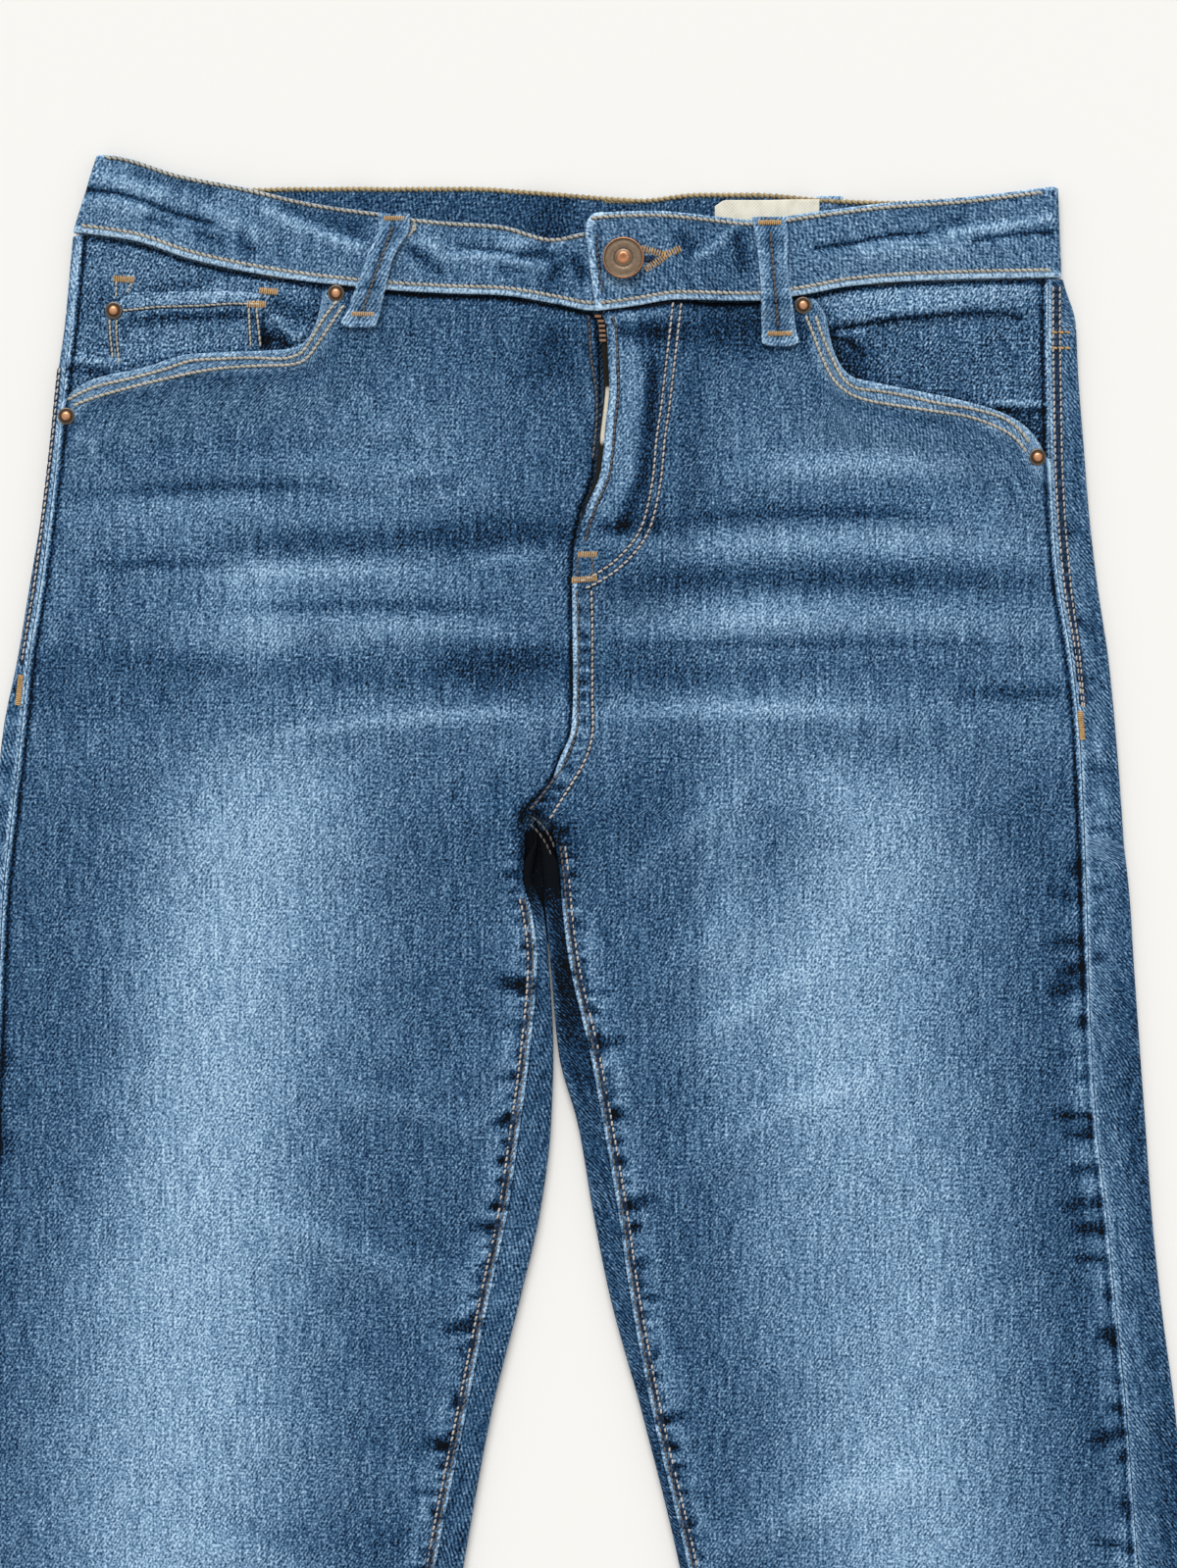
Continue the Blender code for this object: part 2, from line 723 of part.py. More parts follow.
def front_panel(side):
    """A front: its columns start along the waistband and the pocket opening and run down to the hem."""
    starts = PANEL_TOP_RIGHT if side == "right" else PANEL_TOP_LEFT
    opening = OPENING_RIGHT if side == "right" else OPENING_LEFT
    waist_x = np.array(starts, float)
    top_x = np.concatenate([waist_x, np.array(opening)[:, 0]])
    top_drop = np.concatenate([band_foot_front(waist_x) + HEAD_GAP, np.array(opening)[:, 1]])
    top_x[0] = front_inner(side, top_drop[0])
    top_x[-1] = front_outer(side, top_drop[-1])
    first = front_inner(side, top_drop)
    last = front_outer(side, top_drop)
    top_share = (top_x - first) / (last - first)
    level_share = np.linspace(0, 1, len(top_x)) ** COLUMN_CROWDING
    level = LEVEL_ROW[side]
    ruled = np.linspace(0, 1, RULED_ROWS)[:-1, None]
    upper_drop = lerp(top_drop[None, :], level, ruled)
    upper_share = lerp(top_share[None, :], level_share[None, :], ease(ruled))
    lower = np.array([drop for drop in PANEL_ROWS if drop >= level])
    lower_drop = np.repeat(lower[:, None], len(top_x), axis=1)
    lower_share = np.repeat(level_share[None, :], len(lower), axis=0)
    drop = np.concatenate([upper_drop, lower_drop])
    share = np.concatenate([upper_share, lower_share])
    x = lerp(front_inner(side, drop), front_outer(side, drop), share)
    return wall(f"front_panel_{side}", x, drop, panel_z(side, x, drop), wall_at(drop), "denim_front")


def wrap(edge_x, seam_x, out, share, along, drop):
    """The cloth round one fold of the tube, along going from the underside (0) to the seam on top (1).

    Flat on the ground as far as the fold, a half ellipse up to the front layer, then level to the
    seam; share 0 leaves it all flat, as at the centre back above the crotch.
    """
    half = wall_at(drop) / 2
    full = np.minimum(1.0, 3 * share)
    extreme = edge_x - out * half * full
    tangent = extreme - out * FOLD_HEIGHT / 2 * full
    start_x = edge_x - out * WRAP_REACH
    base = ground_z(tangent, drop)
    rise = (top_z(tangent, drop) - base) / 2
    flat = out * (tangent - start_x)
    arc = math.pi * FOLD_HEIGHT / 2
    strip = np.maximum(out * (tangent - seam_x), 0.3)
    on_flat = np.clip(along / WRAP_FLAT_PART, 0, 1)
    on_arc = np.clip((along - WRAP_FLAT_PART) / WRAP_ARC_PART, 0, 1)
    on_strip = np.clip((along - WRAP_FLAT_PART - WRAP_ARC_PART) / (1 - WRAP_FLAT_PART - WRAP_ARC_PART), 0, 1)
    path = flat * on_flat + arc * on_arc + strip * on_strip
    path = lerp(flat * along, path, share)
    turn = np.clip((path - flat) / arc, 0, 1) * math.pi
    level = np.minimum(path, flat)
    beyond = np.maximum(path - flat - arc, 0)
    x = start_x + out * (level + FOLD_HEIGHT / 2 * full * np.sin(turn) - beyond)
    ground = ground_z(x, drop)
    bend = base + rise * (1 - np.cos(turn))
    z = np.where(path <= flat, ground, np.where(beyond > 0, top_z(x, drop), bend))
    return x, z


def back_sheet(side, drop, shares):
    """x and z of the back's cloth, the columns from the centre back or inseam to the side seam.

    drop has one column for each of the sheet's columns; shares places those between the folds.
    """
    share = crotch_share(drop)
    middle = smooth(CENTRE_BACK, CENTRE_COLUMNS, "x", drop)
    inner_fold = np.where(drop <= CROTCH_DROP, middle, leg(side, "inner", drop)) + way(side) * SEAM_GAP / 2
    inseam = leg(side, "inseam", drop) - way(side) * SEAM_GAP / 2
    outer_fold = leg(side, "outer", drop)
    side_seam = leg(side, "side_seam", drop) + way(side) * SEAM_GAP / 2
    along = np.linspace(1, 0, WRAP_COLUMNS)
    part = slice(0, WRAP_COLUMNS)
    inner_x, inner_z = wrap(
        inner_fold[:, part], inseam[:, part], -way(side), share[:, part], along[None, :], drop[:, part]
    )
    part = slice(drop.shape[1] - WRAP_COLUMNS, drop.shape[1])
    one = np.ones_like(drop[:, part])
    outer_x, outer_z = wrap(
        outer_fold[:, part], side_seam[:, part], way(side), one, along[None, ::-1], drop[:, part]
    )
    part = slice(WRAP_COLUMNS, WRAP_COLUMNS + len(shares))
    near_x = inner_fold[:, part] + way(side) * WRAP_REACH
    far_x = outer_fold[:, part] - way(side) * WRAP_REACH
    flat_x = lerp(near_x, far_x, np.array(shares)[None, :])
    flat_z = ground_z(flat_x, drop[:, part])
    return np.hstack([inner_x, flat_x, outer_x]), np.hstack([inner_z, flat_z, outer_z])


def back_spread(shares):
    """Rough share of the half width at each of the back's columns, 0 at the centre back."""
    near = SPREAD_INNER_END * np.linspace(0, 1, WRAP_COLUMNS)
    flat = lerp(SPREAD_FLAT[0], SPREAD_FLAT[1], np.array(shares))
    far = np.ones(WRAP_COLUMNS)
    far[: len(SPREAD_OUTER)] = SPREAD_OUTER
    return np.concatenate([near, flat, far])


def yoke_seam(side, shares):
    """Drop of the yoke seam at each of the back's columns."""
    return lerp(YOKE_CENTRE_DROP, YOKE_SIDE_DROP[side], back_spread(shares))


def yoke(side):
    """The back yoke, from the waistband round to the side seam."""
    rough_x = way(side) * back_spread(YOKE_SHARES) * HALF_HIP
    head = edge(BAND_FOOT_BACK, rough_x) + HEAD_GAP
    foot = yoke_seam(side, YOKE_SHARES) - SEAM_GAP / 2
    drop = lerp(head[None, :], foot[None, :], np.linspace(0, 1, YOKE_ROWS)[:, None])
    x, z = back_sheet(side, drop, YOKE_SHARES)
    return wall(f"yoke_{side}", x, drop, z, DENIM, "denim_back")


def back_panel(side):
    """A back: from the yoke, round both folds of the leg, to the side seam and the inseam."""
    head = yoke_seam(side, PANEL_SHARES) + SEAM_GAP / 2
    ruled = np.linspace(0, 1, BACK_RULED_ROWS)[:-1, None]
    upper = lerp(head[None, :], BACK_LEVEL_ROW, ruled)
    lower = np.array([BACK_LEVEL_ROW] + [drop for drop in PANEL_ROWS if drop > BACK_LEVEL_ROW])
    drop = np.concatenate([upper, np.repeat(lower[:, None], len(head), axis=1)])
    x, z = back_sheet(side, drop, PANEL_SHARES)
    return wall(f"back_panel_{side}", x, drop, z, wall_at(drop), "denim_back")


def pocket_facing(side):
    """The denim inside a hand pocket, from the waistband and side seam to just under the opening."""
    opening = np.array(OPENING_RIGHT if side == "right" else OPENING_LEFT, float)
    edge_foot = opening.copy()
    edge_foot[:, 1] += FACING_UNDERLAP
    edge_foot[:3, 0] -= way(side) * FACING_UNDERLAP * np.array([1.0, 1.0, 0.6])
    edge_foot[:3, 1] -= FACING_UNDERLAP * np.array([0.6, 0.6, 0.0])
    foot_share = np.linspace(0, 1, len(edge_foot))
    share = np.linspace(0, 1, 13)
    foot_x = np.interp(share, foot_share, edge_foot[:, 0])
    foot_drop = np.interp(share, foot_share, edge_foot[:, 1])
    foot_x[-1] = front_outer(side, foot_drop[-1])
    head_x = lerp(foot_x[0], front_outer(side, FACING_SIDE_HEAD[side]), share)
    head_drop = band_foot_front(head_x) + HEAD_GAP
    down = np.linspace(0, 1, 7)[:, None]
    drop = lerp(head_drop[None, :], foot_drop[None, :], down)
    x = lerp(head_x[None, :], foot_x[None, :], down)
    x[:, -1] = front_outer(side, drop[:, -1])
    return wall(f"pocket_facing_{side}", x, drop, facing_z(x, drop), DENIM, "denim_trim")


def coin_pocket():
    """The small pocket on the right facing, its foot tucked under the pocket opening."""
    down, across = grid(6, 9)
    x = lerp(COIN_EDGES["outer"], COIN_EDGES["inner"], across)
    opening = np.array(OPENING_RIGHT, float)[::-1]
    foot = np.interp(x, opening[:, 0], opening[:, 1]) + COIN_UNDERLAP
    head = COIN_EDGES["top"] + 0.0 * x
    drop = lerp(head, foot, down)
    return wall("coin_pocket", x, drop, facing_z(x, drop) + COIN_STACK, DENIM, "denim_trim")


def fly_pieces():
    """The shield and the zip tape behind the fly, which follow its free edge."""
    down, across = grid(9, 4)
    head = edge(BAND_FOOT_LEFT, np.array(SHIELD_HEAD_X)) + HEAD_GAP
    drop = lerp(head, SHIELD_FOOT, down)
    first = centre_front(drop) - fly_gap(drop) + SHIELD_INSET
    taper = 1 - SHIELD_TAPER * ease((drop - SHIELD_TAPER_START) / (SHIELD_FOOT - SHIELD_TAPER_START))
    x = first + SHIELD_WIDTH * taper * across
    drop_at = np.maximum(drop, edge(BAND_FOOT_LEFT, x) + HEAD_GAP)
    wall("fly_shield", x, drop_at, top_z(x, drop_at, 0.0), DENIM, "denim_trim")
    drop = lerp(head + ZIP_HEAD_INSET, ZIP_FOOT, down)
    x = centre_front(drop) - fly_gap(drop) + SHIELD_INSET + ZIP_WIDTH * across
    drop_at = np.maximum(drop, edge(BAND_FOOT_LEFT, x) + HEAD_GAP)
    wall("zip_tape", x, drop_at, top_z(x, drop_at, 0.0) + ZIP_LEVEL, TAPE, "tape")


def band_lift(x):
    """How far the left front's waistband rides over the underlap and the label."""
    middle = (LABEL_EDGES["left"] + LABEL_EDGES["right"]) / 2
    tab = TAB_LIFT * (1 - ease((x - TAB_LIFT_END) / TAB_LIFT_RAMP))
    label = LABEL_LIFT * (1 - ease((np.abs(x - middle) - LABEL_LIFT_HALF) / LABEL_LIFT_RAMP))
    return np.maximum(tab, label)


def band_back_z(x, drop):
    """Middle of the back waistband."""
    return BAND / 2 + under(x, drop)


def band_front_z(side, x, drop):
    """Middle of the front waistband."""
    fold = DENIM / 2 + FOLD_HEIGHT / 2
    away_right = np.abs(x - leg("right", "outer", drop) - fold)
    away = np.minimum(away_right, np.abs(x - leg("left", "outer", drop) + fold))
    flat = BAND + BAND_LAYERS
    base = flat + (FOLD_HEIGHT - flat) * np.exp(-((away / FOLD_SPREAD) ** 2))
    lift = band_lift(x) if side == "left" else 0.0
    return BAND / 2 + under(x, drop, BRIDGE) + base + lift + folds(BAND_FOLDS, x, drop)


def band_stretch(top, foot, ends, shares, down, height):
    """Grid of a waistband stretch between two across lines, each given by its x at top and foot."""
    (top_a, foot_a), (top_b, foot_b) = ends
    head_x = lerp(top_a, top_b, shares)[None, :]
    foot_x = lerp(foot_a, foot_b, shares)[None, :]
    x = lerp(head_x, foot_x, down)
    drop = lerp(edge(top, head_x), edge(foot, foot_x), down)
    return x, drop, height(x, drop)


def band_fold(tangent, out, side, top, foot, down, order):
    """The waistband round a side: a half circle between its front and back, its ends left out."""
    turn = np.linspace(0, math.pi, BAND_ARC_COUNT)[1:-1][None, ::order]
    x_line = lerp(tangent[0], tangent[1], down)
    drop = lerp(edge(top, np.array(tangent[0])), edge(foot, np.array(tangent[1])), down)
    high = band_front_z(side, x_line, drop)
    low = band_back_z(x_line, drop)
    x = x_line + out * FOLD_HEIGHT / 2 * np.sin(turn)
    z = (high + low) / 2 + (high - low) / 2 * np.cos(turn)
    return x, drop + 0.0 * turn, z


def waistband():
    """One folded strip, from the underlap round the right fold, the back and the left fold to the tab."""
    down = np.linspace(0, 1, BAND_ROWS)[:, None]
    inset = BAND / 2 + (FOLD_HEIGHT / 2)
    right_tangent = tuple(value + inset for value in BAND_ENDS["right_side"])
    left_tangent = tuple(value - inset for value in BAND_ENDS["left_side"])
    out_shares = np.array(BAND_FRONT_SHARES[::-1], float)
    parts = [
        band_stretch(
            BAND_TOP_RIGHT, BAND_FOOT_RIGHT, (BAND_ENDS["underlap"], right_tangent), out_shares, down,
            lambda x, drop: band_front_z("right", x, drop),
        )
    ]
    parts.append(band_fold(right_tangent, -1.0, "right", BAND_TOP_RIGHT, BAND_FOOT_RIGHT, down, 1))
    parts.append(
        band_stretch(
            BAND_TOP_BACK, BAND_FOOT_BACK, (right_tangent, left_tangent),
            np.linspace(0, 1, BAND_BACK_COUNT), down, band_back_z,
        )
    )
    parts.append(band_fold(left_tangent, 1.0, "left", BAND_TOP_LEFT, BAND_FOOT_LEFT, down, -1))
    parts.append(
        band_stretch(
            BAND_TOP_LEFT, BAND_FOOT_LEFT, (left_tangent, BAND_ENDS["tab"]), 1 - out_shares[::-1], down,
            lambda x, drop: band_front_z("left", x, drop),
        )
    )
    x, drop, z = (np.hstack([part[k] for part in parts]) for k in range(3))
    return wall("waistband", x, drop, z, BAND, "denim_trim")


def front_loops():
    """The front belt loops, from the waistband's top edge over it and down on to the panel."""
    for row in FRONT_LOOPS:
        loop = dict(zip(FRONT_LOOP_COLUMNS, row))
        side = loop["name"].rsplit("_", 1)[1]
        down, across = grid(12, 4)
        x = lerp(
            lerp(loop["head_left"], loop["head_right"], across),
            lerp(loop["foot_left"], loop["foot_right"], across),
            down,
        )
        drop = lerp(loop["head_drop"], loop["foot_drop"], down)
        foot = band_foot_front(x)
        over_band = band_front_z(side, x, np.minimum(drop, foot)) + BAND / 2
        over_panel = panel_z(side, x, np.maximum(drop, foot)) + DENIM / 2
        leave = ease((drop - foot - LOOP_LEAVES[0]) / (LOOP_LEAVES[1] - LOOP_LEAVES[0]))
        surface = lerp(np.maximum(over_band, over_panel), over_panel, leave)
        bulge = LOOP_BULGE * np.sin(math.pi * np.clip(down, 0, 1)) ** 2
        wall(loop["name"], x, drop, surface + HEAD_GAP + LOOP_STRAP / 2 + bulge, LOOP_STRAP, "denim_trim")


def hidden_trim():
    """Back belt loops and back pockets, flat on the surface under the garment."""
    for row in BACK_LOOPS:
        loop = dict(zip(LOOP_COLUMNS, row))
        down, across = grid(4, 2)
        x = loop["x"] + LOOP_WIDTH * (across - 0.5)
        drop = lerp(loop["top"], loop["foot"], down)
        wall(loop["name"], x, drop, 0 * x + LOOP_STRAP / 2, LOOP_STRAP, "denim_trim")
    for row in BACK_POCKETS:
        pocket = dict(zip(BACK_POCKET_COLUMNS, row))
        down, across = grid(6, 7)
        narrow = pocket["width"] * (1 - BACK_POCKET_TAPER * down)
        x = pocket["x"] + narrow * (across - 0.5)
        depth = pocket["depth"] - pocket["point"] * np.abs(2 * across - 1)
        drop = pocket["drop"] + depth * down
        wall(pocket["name"], x, drop, 0 * x + DENIM / 2, DENIM, "denim_back")


def size_label():
    """The bare label sewn inside the back waistband."""
    down, across = grid(4, 6)
    x = lerp(LABEL_EDGES["left"], LABEL_EDGES["right"], across)
    drop = lerp(LABEL_EDGES["top"], LABEL_EDGES["foot"], down)
    z = band_back_z(x, drop) + BAND / 2 + SEAM_GAP + TAPE / 2
    wall("size_label", x, drop, z, TAPE, "tape")


def turned(name, outline, count, place, tilt, material):
    """A round piece: an outline turned about its axis in count steps, tilted, then placed."""
    turn = np.linspace(0, 2 * math.pi, count, endpoint=False)
    radius = np.array(outline)[:, 0][:, None]
    height = np.array(outline)[:, 1][:, None] + 0 * turn
    x = radius * np.cos(turn)
    y = radius * np.sin(turn)
    lean = math.radians(tilt)
    lean_x = x * math.cos(lean) - height * math.sin(lean)
    lean_z = x * math.sin(lean) + height * math.cos(lean)
    vertices = np.stack([lean_x + place[0], y - place[1], lean_z + place[2]], axis=-1).reshape(-1, 3)
    rings = len(outline)
    step = np.arange(count)
    after = (step + 1) % count
    faces = []
    for ring in range(rings - 1):
        low = ring * count
        high = low + count
        faces += np.stack([low + step, low + after, high + after, high + step], axis=-1).tolist()
    ends = [vertices[:count].mean(axis=0), vertices[-count:].mean(axis=0)]
    foot_middle = rings * count
    last = (rings - 1) * count
    faces += np.stack([after, step, 0 * step + foot_middle], axis=-1).tolist()
    faces += np.stack([last + step, last + after, 0 * step + foot_middle + 1], axis=-1).tolist()
    return add_object(name, np.concatenate([vertices, ends]) * MM, faces, material)


def highest(surface, x, drop, radius):
    """The surface's highest point under a round foot."""
    turn = np.linspace(0, 2 * math.pi, 12, endpoint=False)
    return float(np.max(surface(x + radius * np.cos(turn), drop + radius * np.sin(turn))))


def hardware():
    """The waist button and the rivets."""
    x, drop = BUTTON_PLACE
    surface = float(band_front_z("left", np.array(x), np.array(drop)) + BAND / 2)
    turned("button", BUTTON_OUTLINE, BUTTON_SEGMENTS, (x, drop, surface + BUTTON_SEAT), BUTTON_TILT, "copper")
    for row in RIVETS:
        rivet = dict(zip(RIVET_COLUMNS, row))
        x = rivet["x"]
        drop = rivet["drop"]
        if rivet["on"] == "coin":
            foot = highest(facing_z, x, drop, RIVET_PLATE) + COIN_STACK
        else:
            side = "right" if x < 0 else "left"
            foot = highest(lambda at_x, at_drop: panel_z(side, at_x, at_drop), x, drop, RIVET_PLATE)
        place = (x, drop, foot + DENIM / 2 + SEAM_GAP)
        turned(rivet["name"], RIVET_OUTLINE, RIVET_SEGMENTS, place, 0.0, "copper")


def clear_scene():
    """Start from an empty scene."""
    for thing in list(bpy.data.objects):
        bpy.data.objects.remove(thing)


def stand_on_origin():
    """Move every piece so that the origin is the middle of the whole underside."""
    things = [thing for thing in bpy.data.objects if thing.type == "MESH"]
    points = []
    for thing in things:
        flat = np.empty(3 * len(thing.data.vertices))
        thing.data.vertices.foreach_get("co", flat)
        points.append(flat.reshape(-1, 3))
    whole = np.concatenate(points)
    low = whole.min(axis=0)
    high = whole.max(axis=0)
    shift = np.array([-(low[0] + high[0]) / 2, -(low[1] + high[1]) / 2, -low[2]])
    for thing, own in zip(things, points):
        thing.data.vertices.foreach_set("co", (own + shift).ravel())
        thing.data.update()


def main():
    clear_scene()
    for side in ("right", "left"):
        front_panel(side)
        back_panel(side)
        yoke(side)
        pocket_facing(side)
    waistband()
    coin_pocket()
    fly_pieces()
    front_loops()
    hidden_trim()
    size_label()
    hardware()
    stand_on_origin()


main()
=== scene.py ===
"""Slim fit jeans laid flat on their back with the front up: the visible garment.

Sizes are millimetres on the laid garment: x runs to the wearer's left, drop runs down from the waist at
the centre front, z is the height above the surface. place() turns them into the world's metres.
"right" and "left" are the wearer's, so the right leg lies at -x. Tone is how far the cloth is washed
out, with painted light and shade added to it: 0 is the darkest blue, 1 the palest, and far below 0 it
runs to the near black of painted shade.
"""

import math

import bpy
import numpy as np
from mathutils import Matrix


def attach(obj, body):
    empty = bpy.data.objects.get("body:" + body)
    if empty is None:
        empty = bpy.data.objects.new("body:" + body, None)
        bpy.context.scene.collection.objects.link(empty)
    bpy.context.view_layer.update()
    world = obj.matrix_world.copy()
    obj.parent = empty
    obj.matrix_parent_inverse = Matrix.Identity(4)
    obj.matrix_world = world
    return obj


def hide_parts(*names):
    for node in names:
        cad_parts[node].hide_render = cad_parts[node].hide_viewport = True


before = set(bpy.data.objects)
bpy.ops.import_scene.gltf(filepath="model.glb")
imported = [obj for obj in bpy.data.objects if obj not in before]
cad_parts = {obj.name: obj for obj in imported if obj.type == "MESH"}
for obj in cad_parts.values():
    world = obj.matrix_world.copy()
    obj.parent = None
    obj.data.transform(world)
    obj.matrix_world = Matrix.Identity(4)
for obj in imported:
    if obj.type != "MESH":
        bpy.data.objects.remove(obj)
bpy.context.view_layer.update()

# ---- The view ----
# The garment lies on a plain pale surface and is seen from straight above, with the waist at the top of
# the picture. The light is soft, and a little stronger from beyond the waist.

WAIST_AT = (-0.00025, 0.4992)
HEM_DROP = 1014.0
HEM_TILT = 0.11
HEM_TILT_START = 700.0
HEM_MIDDLE = 196.0
PICTURE = (1200, 1599)
PICTURE_WAIST = (588.0, 218.0)
PIXELS_PER_METRE = 2450.0
CAMERA_HEIGHT = 1.5
CLOTH_LEVEL = 0.005
SENSOR = 36.0


def ease(t):
    """A smooth step: 3 t^2 - 2 t^3 between 0 and 1, level outside."""
    t = np.clip(t, 0.0, 1.0)
    return t * t * (3 - 2 * t)


def bell(offset, half, power=2):
    """1 at offset 0, falling to 1/e at the half width; a higher power falls more steeply."""
    return np.exp(-((offset / half) ** power))


def place(x, drop, z):
    """World metres of garment millimetres. The hems are tilted square to the legs."""
    lower = ease((drop - HEM_TILT_START) / (HEM_DROP - HEM_TILT_START))
    tilt = HEM_TILT * (HEM_MIDDLE - np.abs(x)) * lower
    return np.stack([WAIST_AT[0] + x / 1000, WAIST_AT[1] - (drop + tilt) / 1000, z / 1000 + 0 * x], axis=-1)


LIGHT_GAIN = 1.08


def light_value(red, green, blue):
    """Linear colour of a colour given as seen, 0 to 255."""
    part = np.array([red, green, blue]) / 255
    return tuple(np.where(part < 0.04045, part / 12.92, ((part + 0.055) / 1.055) ** 2.4) / LIGHT_GAIN)


eye = bpy.data.objects.new("camera", bpy.data.cameras.new("camera"))
bpy.context.collection.objects.link(eye)
bpy.context.scene.camera = eye
eye.location = (
    WAIST_AT[0] + (PICTURE[0] / 2 - PICTURE_WAIST[0]) / PIXELS_PER_METRE,
    WAIST_AT[1] - (PICTURE[1] / 2 - PICTURE_WAIST[1]) / PIXELS_PER_METRE,
    CAMERA_HEIGHT,
)
eye.data.sensor_fit = "VERTICAL"
eye.data.sensor_height = SENSOR
eye.data.lens = PIXELS_PER_METRE * (CAMERA_HEIGHT - CLOTH_LEVEL) / PICTURE[1] * SENSOR
eye.data.clip_start = 0.01

bpy.context.scene.view_settings.view_transform = "Standard"
sky = bpy.data.worlds.new("studio")
sky.use_nodes = True
sky.node_tree.nodes["Background"].inputs["Color"].default_value = (1.0, 0.985, 0.96, 1.0)
sky.node_tree.nodes["Background"].inputs["Strength"].default_value = 0.6
bpy.context.scene.world = sky

sun = bpy.data.objects.new("window", bpy.data.lights.new("window", "SUN"))
sun.data.energy = 2.4
sun.data.angle = math.radians(35.0)
sun.rotation_euler = (math.radians(-48.0), math.radians(-8.0), 0.0)
bpy.context.collection.objects.link(sun)

FLOOR_HALF = 3.0
FLOOR_LEVEL = -0.0004
floor_mesh = bpy.data.meshes.new("floor")
floor_mesh.from_pydata(
    [(sx * FLOOR_HALF, sy * FLOOR_HALF, FLOOR_LEVEL) for sx, sy in ((-1, -1), (1, -1), (1, 1), (-1, 1))],
    [],
    [(0, 1, 2, 3)],
)
floor = bpy.data.objects.new("floor", floor_mesh)
bpy.context.collection.objects.link(floor)
floor_finish = bpy.data.materials.new("pale_surface")
floor_finish.use_nodes = True
floor_finish.node_tree.nodes["Principled BSDF"].inputs["Base Color"].default_value = (0.86, 0.85, 0.825, 1.0)
floor_finish.node_tree.nodes["Principled BSDF"].inputs["Roughness"].default_value = 0.9
floor_mesh.materials.append(floor_finish)

# ---- Back pockets ----
# Two patch pockets of the same denim lie under everything else, flat on the surface. Each is a five-sided
# panel, pressed in at its edges and sewn on with two rows of tan thread; its mouth is hemmed.


MM = 0.001
SIDES = ("right", "left")
WAY = {"right": -1.0, "left": 1.0}
DENIM = 1.2
SEAM_GAP = 0.3
# Name, x of the middle, drop of the mouth, width, depth, and depth of the point
BACK_POCKETS = (("back_pocket_right", -97, 94, 122, 136, 18), ("back_pocket_left", 93, 94, 122, 136, 18))
BACK_POCKET_TAPER = 0.1
TAN_THREAD = light_value(188, 184, 172)
GOLD_THREAD = light_value(202, 164, 112)
ROPE_THREAD = light_value(180, 160, 122)
CREAM_THREAD = light_value(196, 188, 180)
BROWN_THREAD = light_value(106, 102, 100)


def maths(operation, swapped=False):
    """A method of Wire that adds a Math node, with its two inputs swapped where the wire comes second."""

    def method(self, other=0.0):
        first, second = (other, self) if swapped else (self, other)
        return self.recipe.node("Math", {0: first, 1: second}, operation=operation)

    return method


class Wire:
    """One output of a shader node. Sums, differences and products of it add Math nodes."""

    def __init__(self, recipe, socket):
        self.recipe = recipe
        self.socket = socket

    __add__ = __radd__ = maths("ADD")
    __sub__ = maths("SUBTRACT")
    __rsub__ = maths("SUBTRACT", swapped=True)
    __mul__ = __rmul__ = maths("MULTIPLY")
    sine = maths("SINE")


CLOTH_SPECULAR = 0.12


class Recipe:
    """A material and its nodes."""

    def __init__(self, name, roughness, metallic=0.0):
        self.material = bpy.data.materials.new(name)
        self.material.use_nodes = True
        self.tree = self.material.node_tree
        self.shader = self.tree.nodes["Principled BSDF"]
        self.shader.inputs["Roughness"].default_value = roughness
        self.shader.inputs["Metallic"].default_value = metallic
        if not metallic:
            self.shader.inputs["Specular IOR Level"].default_value = CLOTH_SPECULAR

    def node(self, kind, values=(), out=0, **settings):
        """One node: values are the numbers or wires of its inputs; gives one output."""
        made = self.tree.nodes.new("ShaderNode" + kind)
        for key, value in settings.items():
            if key == "stops":
                while len(made.color_ramp.elements) < len(value):
                    made.color_ramp.elements.new(0.5)
                for stop, (at, colour) in zip(made.color_ramp.elements, value):
                    stop.position = at
                    stop.color = (*colour, 1.0)
            else:
                setattr(made, key, value)
        for key, value in dict(values).items():
            if isinstance(value, Wire):
                self.tree.links.new(value.socket, made.inputs[key])
            else:
                made.inputs[key].default_value = value
        return Wire(self, made.outputs[out])

    def feed(self, name, wire):
        """Link a wire to one of the shader's own sockets."""
        self.tree.links.new(wire.socket, self.shader.inputs[name])

    def colours(self, stops, level):
        """Base colour along the level: stops are (level, colour)."""
        self.feed("Base Color", self.node("ValToRGB", {0: level}, stops=stops))

    def bump(self, height, strength, distance):
        """Small relief from a height, on the shader's normal."""
        values = {"Strength": strength, "Distance": distance, "Height": height}
        self.feed("Normal", self.node("Bump", values))


def grain(recipe, cloth, across, along, detail, shift=0.0):
    """Noise in the cloth's own metres: so many waves to the metre across and along the warp."""
    at = recipe.node("VectorMath", {0: cloth, 1: (across, along, 1.0)}, operation="MULTIPLY")
    at = recipe.node("VectorMath", {0: at, 1: (shift, 1.7 * shift, 0.0)}, operation="ADD")
    values = {"Vector": at, "Scale": 1.0, "Detail": detail, "Roughness": 0.6}
    return recipe.node("TexNoise", values, noise_dimensions="2D")


TWILL_TURNS = (2 * math.pi * 640, 2 * math.pi * 400)
# Near black: painted shade, where tone falls far below 0
SHADE = (3, 7, 14)
BLUES = ((10, 44, 77), (34, 68, 101), (74, 108, 141), (113, 147, 180), (153, 187, 218), (197, 226, 248))


